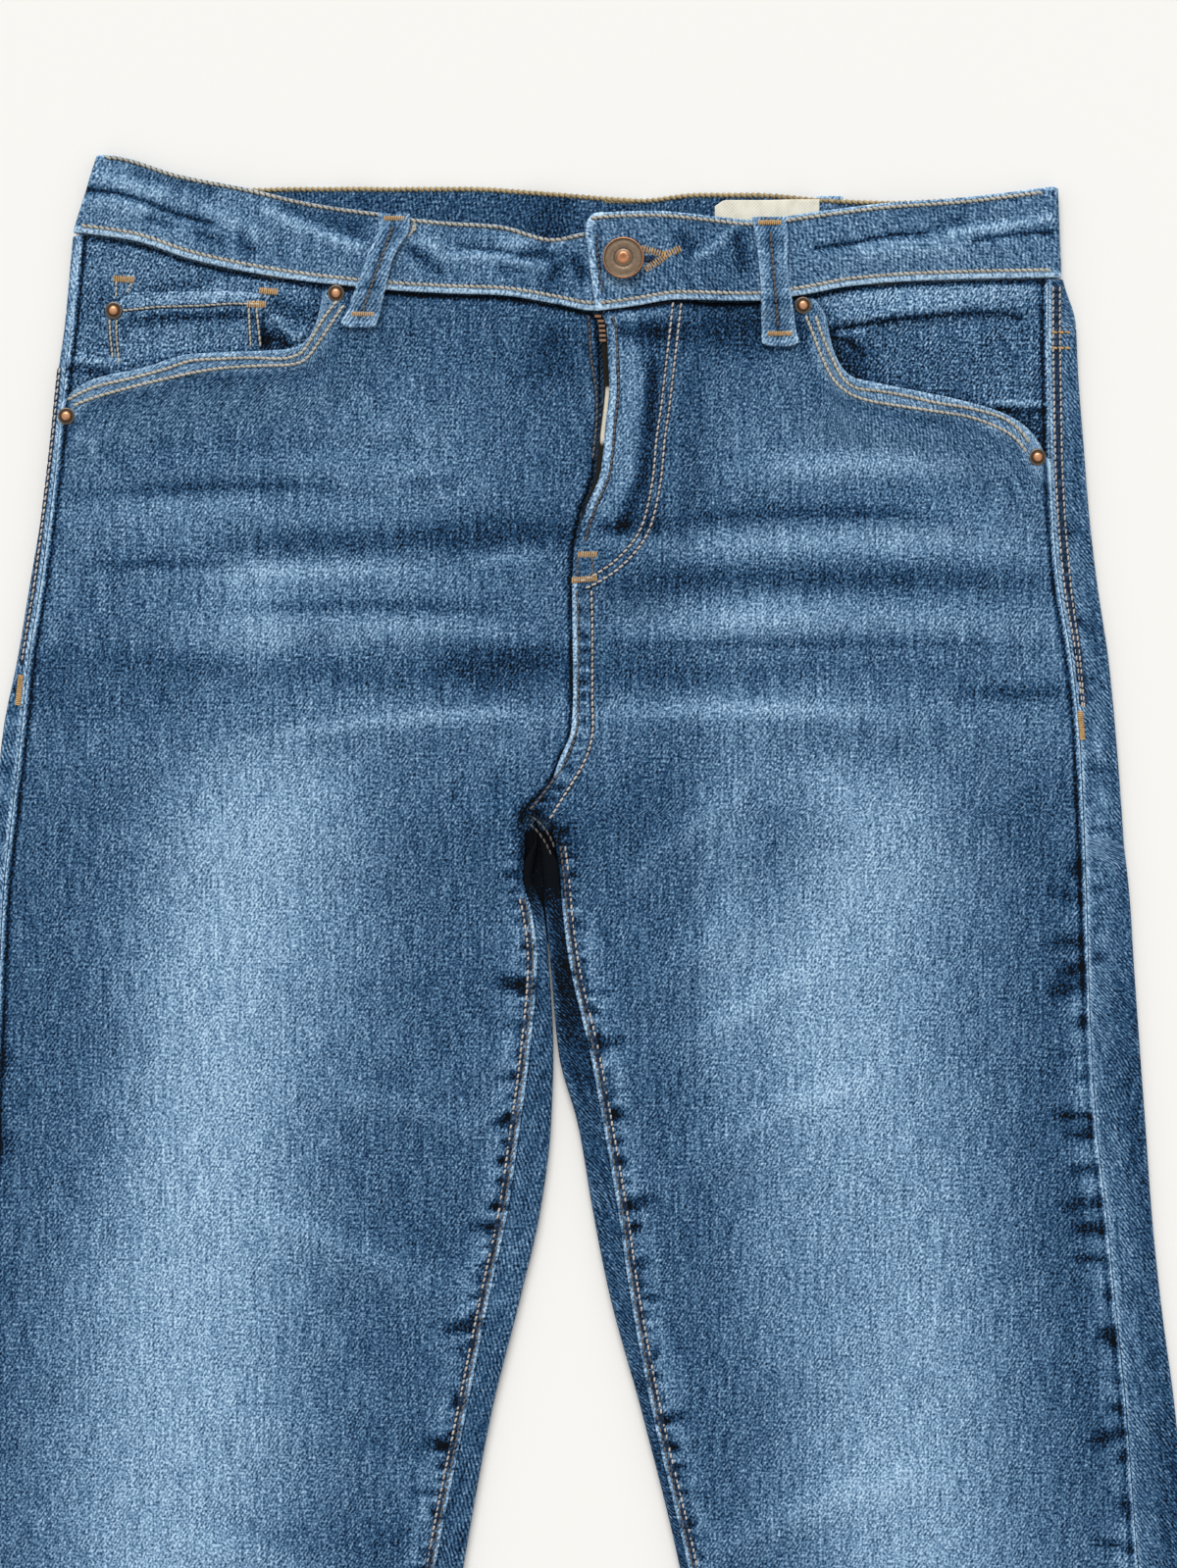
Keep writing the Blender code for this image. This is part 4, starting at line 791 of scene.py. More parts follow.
def puff(x, drop):
    """Share of the fold height left at x: full at the folds of the legs, none far from them."""
    total = 0.0 * (x + drop)
    for side in SIDES:
        inside = DENIM / 2 + FOLD_HEIGHT / 2
        outer = leg(side, "outer", drop) - WAY[side] * inside
        inner = leg(side, "inner", drop) + WAY[side] * inside
        outer_share = bell(x - outer, FOLD_SPREAD)
        opened = ease((drop - CROTCH_DROP + CROTCH_PUFF) / CROTCH_PUFF)
        inner_share = opened * bell(x - inner, FOLD_SPREAD)
        inner_share = inner_share * (WAY[side] * (x - inner) > -inside)
        total = np.maximum(total, np.maximum(outer_share, inner_share))
    return total


def ground_z(x, drop):
    """Middle of the underside's cloth."""
    return wall_at(drop) / 2 + under(x, drop)


def top_z(x, drop, height=1.0):
    """Middle of the front layer's cloth, before anything under it lifts it: flat on the back, raised where
    the legs' folds puff it up, plus the soft folds and the fine relief. height scales both."""
    flat = wall_at(drop) + LAYER_GAP
    rise = BAND_RISE * bell(np.maximum(drop - band_foot_front(x), 0), BAND_RISE_SPREAD)
    base = flat + np.maximum(rise, (FOLD_HEIGHT - flat) * puff(x, drop))
    if height:
        base = np.maximum(base + height * folds(FRONT_FOLDS, x, drop), flat)
        base = np.maximum(base + height * relief(x, drop), wall_at(drop) + 0.12)
    return wall_at(drop) / 2 + under(x, drop, BRIDGE) + base


def wrap(edge_x, seam_x, out, share, along, drop):
    """The cloth round one fold of the tube, along going from the underside (0) to the seam on top (1).

    Flat on the ground as far as the fold, a half ellipse up to the front layer, then level to the
    seam; share 0 leaves it all flat, as at the centre back above the crotch.
    """
    half = wall_at(drop) / 2
    full = np.minimum(1.0, 3 * share)
    extreme = edge_x - out * half * full
    tangent = extreme - out * FOLD_HEIGHT / 2 * full
    start_x = edge_x - out * WRAP_REACH
    base = ground_z(tangent, drop)
    rise = (top_z(tangent, drop) - base) / 2
    flat = out * (tangent - start_x)
    arc = math.pi * FOLD_HEIGHT / 2
    strip = np.maximum(out * (tangent - seam_x), 0.3)
    on_flat = np.clip(along / WRAP_FLAT_PART, 0, 1)
    on_arc = np.clip((along - WRAP_FLAT_PART) / WRAP_ARC_PART, 0, 1)
    on_strip = np.clip((along - WRAP_FLAT_PART - WRAP_ARC_PART) / (1 - WRAP_FLAT_PART - WRAP_ARC_PART), 0, 1)
    path = flat * on_flat + arc * on_arc + strip * on_strip
    path = lerp(flat * along, path, share)
    turn = np.clip((path - flat) / arc, 0, 1) * math.pi
    level = np.minimum(path, flat)
    beyond = np.maximum(path - flat - arc, 0)
    x = start_x + out * (level + FOLD_HEIGHT / 2 * full * np.sin(turn) - beyond)
    ground = ground_z(x, drop)
    bend = base + rise * (1 - np.cos(turn))
    z = np.where(path <= flat, ground, np.where(beyond > 0, top_z(x, drop), bend))
    return x, z


WRAP_POINTS = np.concatenate(
    [np.linspace(0, 0.2, 5)[:-1], np.linspace(0.2, 0.7, 17)[:-1], np.linspace(0.7, 0.975, 7), [0.99, 1.0]]
)


def back_sheet(side, drop, shares):
    """x, z and the share of the way up the folds for the back's cloth. Its columns go round the inner fold
    by WRAP_POINTS, across by shares, and round the outer fold."""
    wraps = len(WRAP_POINTS)
    out = WAY[side]
    share = crotch_share(drop)
    middle = smooth(CENTRE_BACK, drop)
    inner_fold = np.where(drop <= CROTCH_DROP, middle, leg(side, "inner", drop)) + out * SEAM_GAP / 2
    inseam = leg(side, "inseam", drop) - out * SEAM_GAP / 2
    outer_fold = leg(side, "outer", drop)
    side_seam = leg(side, "side_seam", drop) + out * SEAM_GAP / 2
    part = slice(0, wraps)
    up = WRAP_POINTS[None, ::-1] + 0 * drop[:, part]
    inner_x, inner_z = wrap(inner_fold[:, part], inseam[:, part], -out, share[:, part], up, drop[:, part])
    upper = [up * share[:, part]]
    part = slice(drop.shape[1] - wraps, drop.shape[1])
    one = np.ones_like(drop[:, part])
    up = WRAP_POINTS[None, :] + 0 * drop[:, part]
    outer_x, outer_z = wrap(outer_fold[:, part], side_seam[:, part], out, one, up, drop[:, part])
    part = slice(wraps, wraps + len(shares))
    near_x = inner_fold[:, part] + out * WRAP_REACH
    far_x = outer_fold[:, part] - out * WRAP_REACH
    flat_x = lerp(near_x, far_x, np.array(shares)[None, :])
    flat_z = ground_z(flat_x, drop[:, part])
    upper += [0 * flat_x, up]
    return np.hstack([inner_x, flat_x, outer_x]), np.hstack([inner_z, flat_z, outer_z]), np.hstack(upper)


def back_spread(shares):
    """Rough share of the half width at each of the back's columns, 0 at the centre back."""
    wraps = np.linspace(0, 1, len(WRAP_POINTS))
    near = SPREAD_INNER_END * wraps
    flat = lerp(SPREAD_FLAT[0], SPREAD_FLAT[1], np.array(shares))
    far = np.interp(WRAP_POINTS, [0.0, 0.125, 0.25], [*SPREAD_OUTER, 1.0])
    return np.concatenate([near, flat, far])


def yoke_seam(side, shares):
    """Drop of the yoke seam at each of the back's columns."""
    return lerp(YOKE_CENTRE_DROP, YOKE_SIDE_DROP[side], back_spread(shares))


def level_rows(first, step):
    """Drops of the level rows down to the hem, closer round the crotch and at the hem's edge."""
    last = HEM_DROP - 1.0
    rows = [np.arange(first, 242, step), np.arange(242, 300, 2.0), np.arange(300, last, step)]
    return np.concatenate(rows + [[last, HEM_DROP - 0.6, HEM_DROP - 0.28, HEM_DROP - 0.1, HEM_DROP]])


# Where the back has been washed paler, on the underside: the seat, the thighs and the calves
BACK_FADES = (
    (-105, 170, 62, 70, 0.3, 90), (103, 170, 62, 70, 0.3, 90), (-150, 420, 170, 48, 0.24, 90),
    (150, 420, 170, 48, 0.24, 90), (-185, 800, 160, 44, 0.28, 90), (185, 800, 160, 44, 0.28, 90),
    (-110, 262, 80, 9, -0.16, 0, 4), (110, 262, 80, 9, -0.16, 0, 4), (-165, 588, 60, 6, -0.16, 4, 3),
    (165, 600, 60, 6, -0.16, -4, 3), (-168, 612, 60, 5, 0.14, -3, 3), (168, 626, 60, 5, 0.14, 3, 3),
)


def back_tone(side, x, drop, upper):
    """Washing out of the back: its fades underneath, darker strips beside the front, pale along the folds
    and seams, with painted shade in the gathers and in the crotch's hollow."""
    flat = 0.3 + folds(BACK_FADES, x, drop)
    strip = 0.24 + 0.05 * np.sin(drop / 31.0) + 0.08 * bell(drop - 120, 60)
    strip = strip - 0.14 * (side == "left") * ease((drop - 300) / 60)
    tone = lerp(flat, strip, ease((upper - 0.3) / 0.2))
    tone += 0.16 * bell(upper - 0.5, 0.09)
    out = WAY[side] * (x - leg(side, "side_seam", drop))
    seam = np.where(out > 0, bell(out, 1.5), 0.0) * (upper > 0.6)
    puff_share = bell(out - 6, 5) * (upper > 0.55) * (out > 0) * ease((drop - 110) / 40)
    # Painted shade in the gathers of the strip beside the side seam
    gather_shade = np.clip(dents(SIDE_STRIP[side], out - 1.0, drop), 0, 1)
    tone += 0.7 * seam + 0.26 * puff_share - 0.75 * gather_shade * (upper > 0.55)
    # Painted shade in the crotch's hollow, reaching down the left leg's inner strip
    hollow_shade = ease((drop - 246) / 4) * ease((300 - drop) / 34)
    if side == "left":
        strip = ease((drop - 246) / 4) * ease((372 - drop) / 60) * ease((upper - 0.5) / 0.3)
        hollow_shade = np.maximum(hollow_shade, 0.45 * strip)
    tone -= 1.6 * hollow_shade * ease((upper - 0.02) / 0.1) * (WAY[side] * x < 30)
    hem = HEM_DROP - drop
    return tone + 0.35 * bell(hem, 1.4) - 0.15 * bell(hem - 12.5, 1.3)


def over(surface):
    """The outer face of a surface of cloth middles."""
    return lambda x, drop: surface(x, drop) + wall_at(drop) / 2 + 0.02


BACK_SHARES = tuple(np.linspace(0.02, 0.98, 52))
for side in SIDES:
    head = yoke_seam(side, BACK_SHARES) + SEAM_GAP / 2
    fall = np.concatenate([[0.0, 0.002, 0.006, 0.015], np.linspace(0.06, 1, 16)[:-1]])[:, None]
    lower = np.repeat(level_rows(BACK_LEVEL_ROW, 3.4)[:, None], len(head), axis=1)
    drop = np.concatenate([lerp(head[None, :], BACK_LEVEL_ROW, fall), lower])
    x, z, upper = back_sheet(side, drop, BACK_SHARES)
    tone = back_tone(side, x, drop, upper)
    near_yoke = drop - yoke_seam(side, BACK_SHARES)[None, :]
    tone += 0.3 * bell(near_yoke, 1.0) + 0.12 * bell(near_yoke - 5, 2.5)
    shell(
        f"back_panel_{side}", x, drop, z, wall_at(drop), tone, denim_back, WAY[side]
    )
    out = WAY[side]
    face = over(top_z)
    if side == "left":
        at = np.arange(30, 210, 4.0)
        spread = lerp(4.8, 2.8, ease((at - 140) / 70))
        aways, groove, tack_ends, shift = (spread, 2.0 + 0 * at), 4.4, (207, 219), 1.0
    else:
        at = np.arange(64, 192, 4.0)
        spread = 2.6 + 0 * at
        aways, groove, tack_ends, shift = (spread,), 2.2, (192, 205), -2.4
    seam = leg(side, "side_seam", at)
    cream_rows = [(pairs(seam + out * away, at), face, 2.8, 2.2, 0.85) for away in aways]
    groove_shade = [(pairs(seam + out * (1.2 + spread / 2), at), face, groove)]
    tack = [(leg(side, "side_seam", at) + shift, at) for at in tack_ends]
    gold_rows = one_stitch(bar_tack(tack[0], tack[1], face, width=2.6))
    for down in (1.9, 8.4):
        at = YOKE_SIDE_DROP[side] + down
        path = ((leg(side, "side_seam", at) + out * 1.2, at), (leg(side, "outer", at) - out * 1.6, at))
        gold_rows.append((path, face, 2.7, 2.4, 1.1))
        groove_shade.append((path, face, 1.9))
        path = [
            (out * HALF_HIP * share, lerp(YOKE_CENTRE_DROP, YOKE_SIDE_DROP[side], share) + down)
            for share in (0.01, 0.95)
        ]
        gold_rows.append((path, lifted(under, 0.2), 3.1, 2.5, 0.6))
    # Painted shade in the grooves beside the side seam's and the yoke's rows
    paint_groove_shade(f"back_{side}_grooves", groove_shade)
    sew(f"back_{side}_stitching_cream", cream_rows, cream_thread)
    sew(f"back_{side}_stitching_gold", gold_rows, gold_thread)

# A near-black sheet where the four panels meet in the crotch's hollow, laid as the crotch seams'
# allowance turned under: painted shade, which also hides the surface between the legs
CROTCH_SHADE_SIZE = (11, 56)
CROTCH_SHADE_PLACE = (-15.6, 247.5)
CROTCH_SHADE_LEAN = 4.5
CROTCH_SHADE_WALL = 0.8
down, across = share_grid(CROTCH_SHADE_SIZE[1], 2.0, CROTCH_SHADE_SIZE[0], 1.5)
x = CROTCH_SHADE_PLACE[0] + CROTCH_SHADE_LEAN * down + CROTCH_SHADE_SIZE[0] * (across - 0.5)
drop = CROTCH_SHADE_PLACE[1] + CROTCH_SHADE_SIZE[1] * down
# Its tone of -0.9 makes it near black: painted shade
shell(
    "crotch_shade_sheet", x, drop, DENIM / 2, CROTCH_SHADE_WALL, -0.9, denim_back,
    solid=False,
)

# ---- Yokes ----
# The shaped pieces between the back waistband and the back panels, of the same denim. Each lies flat and
# comes up round the hip's fold to the side seam; the panel below is felled to it with two rows.

BAND_FOOT_BACK = (
    (-210, 7.5), (-185, 13), (-160, 20), (-133, 25), (-80, 28), (0, 29.5), (80, 29), (160, 28), (202, 26.5),
)
YOKE_SHARES = tuple(np.linspace(0.02, 0.98, 46))
for side in SIDES:
    rough_x = WAY[side] * back_spread(YOKE_SHARES) * HALF_HIP
    head = edge(BAND_FOOT_BACK, rough_x) + HEAD_GAP
    foot = yoke_seam(side, YOKE_SHARES) - SEAM_GAP / 2
    drop = lerp(head[None, :], foot[None, :], shares(40, 2.2)[:, None])
    x, z, upper = back_sheet(side, drop, YOKE_SHARES)
    tone = back_tone(side, x, drop, upper) + 0.1
    # Paler along the seam at the foot; painted shade under the waistband at the head
    tone += 0.3 * bell(foot - drop, 1.2) - 0.2 * bell(drop - head, 6)
    shell(f"yoke_{side}", x, drop, z, DENIM, tone, denim_back, WAY[side])

# ---- Pocket facings ----
# The denim seen inside the hand pockets, sewn between the waistband and the side seam. It has crumpled
# under the opening, which leaves soft ridges with hollows beside them, painted paler on the ridges and
# darker in the hollows as light and shade.

STACK = DENIM + 0.65
OPENING_RIGHT = (
    (-105.8, 35), (-108.5, 46), (-113.5, 54), (-123.5, 57), (-148.5, 58), (-165, 59.5), (-178.5, 64),
    (-198.5, 68.5), (-208, 73), (-214, 79),
)
OPENING_LEFT = (
    (99, 36), (103.5, 43), (106.5, 56.5), (113, 67), (125, 70.5), (142, 74), (159, 77.5), (176, 82.5),
    (188, 90), (197, 104),
)
FACING_UNDERLAP = 8.0
FACING_SIDE_HEAD = {"right": 12.0, "left": 28.0}
FACING_TONE = {"right": 0.46, "left": 0.32}
FACING_FOLDS = (
    (-119, 43, 15, 4.5, 1.3, 62, 3), (-126, 45, 12, 3.5, -0.4, 68), (-204, 62, 18, 4, 0.6, 5),
    (138, 48, 44, 4, -0.45, -8, -3), (145, 38, 40, 5, 0.7, -4, -3), (184, 78, 15, 3.5, 0.6, 8),
)
FACING_CREASES = (
    (-215, 71, 24, 2.2, 0.5, 64, 2), (-160, 46, 30, 5, 0.3, 8, 3), (-150, 54, 22, 4, -0.3, -4, 2),
    (-128.5, 49, 6, 3.2, -0.8, 84), (-116.5, 53, 7, 2.4, -0.8, 20), (150, 42.5, 46, 2.2, 0.8, -3, -2),
    (150, 46.5, 46, 3, -0.5, -3, -2), (118, 52, 16, 2.6, 0.6, -28, -3), (109, 56, 9, 4.5, -0.7, 66),
    (160, 60, 34, 5, 0.35, 12, 3), (170, 44, 26, 4, -0.3, 4, -3), (186, 82, 14, 2, 0.45, 8),
)
# Painted light on the facings' ridges and painted shade in their hollows, given as the ridges are, with the
# height a change of tone
FACING_LIGHT_AND_SHADE = (
    (-160, 43, 29, 2.2, -0.7, -3, 1), (-160, 35, 28, 2.4, 0.22, -4), (-160, 56, 26, 3, 0.12, -2, 2),
    (-200, 44, 5, 14, -0.12), (-160, 28, 50, 2.6, -0.2, -14), (146, 34, 56, 5.5, 0.45, -3),
    (113, 60, 12, 8, -0.45, 58), (187, 90, 8, 6, -0.45), (150, 60, 40, 14, -0.05, 4),
    (-130.5, 50, 6, 2.6, -1.0, 84), (-124, 52, 6, 4, -0.9, 20), (-118, 40, 12, 5, -0.4, 24),
)
# Creases and ridges along a line: path, half width, change of tone, height; the change of tone is
# painted light on the ridges and painted shade in the creases
FACING_LINES = (
    (
        (
            (-129, 49.8), (-128.2, 44.9), (-125.7, 43.3), (-122.9, 44.9), (-121.2, 48.6), (-118.4, 51.4),
            (-115.9, 51.4), (-113.9, 49),
        ),
        1.4, 0.5, 0.9,
    ),
    (
        (
            (105.7, 49), (109.8, 47.3), (118.8, 46.1), (130.6, 44.1), (146.1, 42.4), (159.6, 41.2),
            (168.6, 40.8), (177.6, 41.2), (184.9, 43.3),
        ),
        1.2, -0.8, -0.6,
    ),
    (
        ((106.5, 46.1), (109.8, 44.5), (118.8, 43.3), (130.6, 41.2), (146.1, 39.6), (159.6, 38.4)), 2.2,
        0.22, 0.7,
    ),
    (((106.5, 51.4), (112.2, 52.7), (115.9, 54.7), (118.8, 58)), 1.2, -0.7, -0.5),
    (((107.3, 49.8), (113.1, 49.8), (119.2, 49)), 1.4, 0.4, 0.4),
    (((169.4, 78.8), (177.6, 78.4), (186.9, 79.2), (194.7, 79.2)), 0.9, 0.7, 0.5),
    (((172.2, 82), (180.4, 81.6), (194.7, 82.4)), 1.8, -0.5, -0.3),
    (((-213.9, 60.8), (-203.7, 61.2), (-194.7, 62.4), (-187.3, 64.9)), 1.0, 0.55, 0.6),
    (((-213.1, 64.5), (-203.7, 64.9), (-195.9, 66.1)), 2.2, -0.5, -0.3),
)


def lined(rows, x, drop, which):
    """Sum of the lined creases' change of tone, painted light and shade (which 2), or height (which 3):
    a Gaussian across each.
    """
    total = 0.0 * (x + drop)
    for row in rows:
        total = total + row[which] * bell(opening_distance(row[0], x, drop), row[1])
    return total


def curve(points, count):
    """A smooth curve through the points: a Catmull-Rom spline, cut into count even parameter steps."""
    points = np.array(points, float)
    ends = np.concatenate([2 * points[:1] - points[1:2], points, 2 * points[-1:] - points[-2:-1]])
    at = np.linspace(0, len(points) - 1, count)
    k = np.minimum(at.astype(int), len(points) - 2)
    t = (at - k)[:, None]
    a, b, c, d = (ends[k + shift] for shift in range(4))
    return 0.5 * (2 * b + (c - a) * t + (2 * a - 5 * b + 4 * c - d) * t**2 + (3 * b - a - 3 * c + d) * t**3)


OPENINGS = {"right": curve(OPENING_RIGHT, 46), "left": curve(OPENING_LEFT, 46)}


def opening_distance(table, x, drop):
    """Distance to a pocket opening's line."""
    points = np.array(table, float)
    away = np.inf
    for (ax, ad), (bx, bd) in zip(points[:-1], points[1:]):
        length = math.hypot(bx - ax, bd - ad)
        share = np.clip(((x - ax) * (bx - ax) + (drop - ad) * (bd - ad)) / length**2, 0, 1)
        away = np.minimum(away, np.hypot(x - lerp(ax, bx, share), drop - lerp(ad, bd, share)))
    return away


def facing_z(x, drop):
    """Middle of a pocket facing's cloth."""
    return top_z(x, drop) + folds(FACING_FOLDS + FACING_CREASES, x, drop) + lined(FACING_LINES, x, drop, 3)


def front_outer(side, drop):
    """x of a front panel's edge at the side seam."""
    return leg(side, "side_seam", drop) - WAY[side] * SEAM_GAP / 2


denim_facing = denim("denim_facing", ribs=0.26, weave=1.6, weft=0.6, slub=0.5)
for side in SIDES:
    edge_foot = np.array(OPENING_RIGHT if side == "right" else OPENING_LEFT, float)
    edge_foot[:, 1] += FACING_UNDERLAP
    edge_foot[:3, 0] -= WAY[side] * FACING_UNDERLAP * np.array([1.0, 1.0, 0.6])
    edge_foot[:3, 1] -= FACING_UNDERLAP * np.array([0.6, 0.6, 0.0])
    share = shares(110, 1.15)
    foot_share = np.linspace(0, 1, len(edge_foot))
    foot_x = np.interp(share, foot_share, edge_foot[:, 0])
    foot_drop = np.interp(share, foot_share, edge_foot[:, 1])
    foot_x[-1] = front_outer(side, foot_drop[-1])
    head_x = lerp(foot_x[0], front_outer(side, FACING_SIDE_HEAD[side]), share)
    head_drop = band_foot_front(head_x) + HEAD_GAP
    down = shares(60, 1.15)[:, None]
    drop = lerp(head_drop[None, :], foot_drop[None, :], down)
    x = lerp(head_x[None, :], foot_x[None, :], down)
    x[:, -1] = front_outer(side, drop[:, -1])
    away = opening_distance(OPENINGS[side], x, drop)
    tone = folds(FACING_LIGHT_AND_SHADE, x, drop) + lined(FACING_LINES, x, drop, 2) + FACING_TONE[side]
    # Painted shade by the opening, where the front's edge lies over the facing, and in a line under the
    # waistband; the side seam's crest is paler from wear, with painted shade in the groove beside it
    tone -= 0.28 * bell(away, 3)
    seam = np.abs(x - leg(side, "side_seam", drop))
    tone -= 0.9 * bell(drop - head_drop[None, :] - 0.8, 0.9)
    tone += 0.8 * bell(seam, 1.0) - 1.0 * bell(seam - 2.4, 0.9)
    shell(
        f"pocket_facing_{side}", x, drop, facing_z(x, drop), DENIM, tone, denim_facing,
    )

# ---- Coin pocket ----
# A small patch on the right facing; its foot is caught under the hand pocket. Its mouth is turned in and
# sewn with one row, its sides with two, and it is tacked at the corners.

COIN_UNDERLAP = 3.0
COIN_EDGES = {"outer": -194.0, "inner": -131.0, "top": 32.5}
COIN_STACK = DENIM + 0.8
down, across = share_grid(36, 1.3, 63, 1.4)
x = lerp(COIN_EDGES["outer"], COIN_EDGES["inner"], across)
foot = np.interp(x, OPENINGS["right"][::-1, 0], OPENINGS["right"][::-1, 1]) + COIN_UNDERLAP
top = COIN_EDGES["top"] + 6.5 * bell(x - COIN_EDGES["outer"], 5.5) + 1.2 * ease((x + 140) / 9)
drop = lerp(top, foot, down)
border = np.minimum(drop - top, np.minimum(x - COIN_EDGES["outer"], COIN_EDGES["inner"] - x))
under_edge = foot - COIN_UNDERLAP - drop
# Paler along its edges and mouth, with the facings' painted light and shade over it, and painted shade where
# it goes under the front's opening
tone = 0.46 + 0.3 * bell(border, 1.6) + folds(FACING_LIGHT_AND_SHADE, x, drop)
tone += 0.14 * bell(drop - 36, 3) - 0.3 * bell(under_edge, 3)
z = facing_z(x, drop) + COIN_STACK
shell("coin_pocket", x, drop, z, DENIM, tone, denim_facing)
coin_z = lifted(facing_z, COIN_STACK + DENIM / 2 + 0.02)
facing_top = lifted(facing_z, DENIM / 2 + 0.05)
COIN_MOUTH_ROW = ((-189, 40.4), (-174.7, 38.8), (-156.7, 38.4), (-142.9, 37.6), (-130.6, 38))
COIN_SIDE_ROWS = (
    ((-194.3, 44.1), (-193.9, 51.8), (-192.7, 62)), ((-191.4, 44.1), (-191.4, 51.8), (-190.2, 62.9)),
    ((-136.3, 39.6), (-135.5, 56.3)), ((-133.1, 39.6), (-131.4, 56.3)),
)
COIN_HEAD_ROWS = (((-191.8, 27.8), (-191.8, 35.1)), ((-185.3, 28.6), (-187.8, 33.5)))
coin_rows = [(COIN_MOUTH_ROW, coin_z, 2.3, 2.1, 1.0)]
coin_rows += [(path, coin_z, 2.3, 2.2, 1.0) for path in COIN_SIDE_ROWS]
head_rows = [(path, facing_top, 2.3, 2.0, 0.9) for path in COIN_HEAD_ROWS]
coin_tacks = (
    (((-193.1, 26.9), (-183.7, 27.3)), facing_top), (((-132.2, 32.2), (-123.7, 32.7)), facing_top),
    (((-137.1, 38), (-129, 38)), coin_z),
)
# Painted shade in the grooves under the coin pocket's rows
paint_groove_shade("coin_pocket_groove_shade", [(path, surface, 1.9) for path, surface, pitch, length, width in coin_rows])
sew("coin_pocket_stitching", coin_rows + head_rows, tan_thread)
tack_rows = []
for ends, surface in coin_tacks:
    tack_rows += one_stitch(bar_tack(ends[0], ends[1], surface, width=3.0, pitch=0.9))
sew("coin_pocket_bartacks", tack_rows, gold_thread)

# ---- Front panels ----
# The two fronts, of the palest denim: washed out on the thighs, with whiskers at the hips. The seams are
# gathered, and the hand pockets' mouths are turned in and sewn with two rows of tan thread.

FACING_LIFT_MARGIN = 16.0
FACING_LIFT_RAMP = 16.0
COIN_LIFT_MARGIN = 4.0
COIN_LIFT_SIDE_RAMP = 12.0
COIN_LIFT_FOOT_RAMP = 14.0
FLY_END_DROP = 150.0
FLY_GAP_DROP = 100.0
FLY_GAP = 3.4
FLY_LIFT = 3.7
FLY_LIFT_MARGIN = 4.0
FLY_LIFT_SIDE_RAMP = 20.0
FLY_LIFT_FOOT_RAMP = 22.0
SHIELD_WIDTH = 26.0
CENTRE_FRONT = (
    (-30, 3), (5, 3), (29.5, 6), (41, 9.5), (46, 12), (63, 13), (73, 13.4), (86.5, 12), (107, 10),
    (123.5, 3.5), (139.5, -1), (155, -2), (200, -1.6), (214.5, -2.4), (226.5, -7), (238.5, -12),
    (249.5, -21.5), (300, -21.5),
)
PANEL_TOP_RIGHT = (4, -4, -14, -28, -44, -62, -80, -95, -104)
PANEL_TOP_LEFT = (13, 18, 23, 29, 36, 48, 64, 80, 95)
LEVEL_ROW = {"right": 100.0, "left": 125.0}
COLUMN_CROWDING = 1.2
# The washed-out patch down each leg: drop, x of the middle, half widths inward and outward, peak
WASH = {
    "right": (
        (205, -124, 30, 30, 0.0), (230, -128, 38, 40, 0.8), (262, -138, 40, 42, 0.95),
        (326, -148, 42, 46, 0.95), (390, -155, 46, 50, 0.95), (438, -160, 50, 52, 0.95),
        (486, -165, 54, 54, 0.92), (566, -170, 58, 56, 0.9), (620, -174, 58, 54, 0.8),
        (720, -184, 52, 48, 0.6), (860, -196, 48, 46, 0.55), (1014, -206, 46, 46, 0.5),
    ),
    "left": (
        (205, 124, 30, 30, 0.0), (246, 125, 34, 44, 0.8), (278, 118, 34, 50, 0.9), (310, 103, 34, 58, 0.9),
        (358, 108, 36, 56, 0.9), (406, 120, 40, 52, 0.9), (470, 130, 44, 50, 0.9), (534, 133, 46, 52, 0.88),
        (566, 140, 48, 52, 0.85), (620, 158, 52, 52, 0.75), (720, 180, 50, 48, 0.58),
        (860, 194, 48, 46, 0.55), (1014, 204, 46, 46, 0.5),
    ),
}
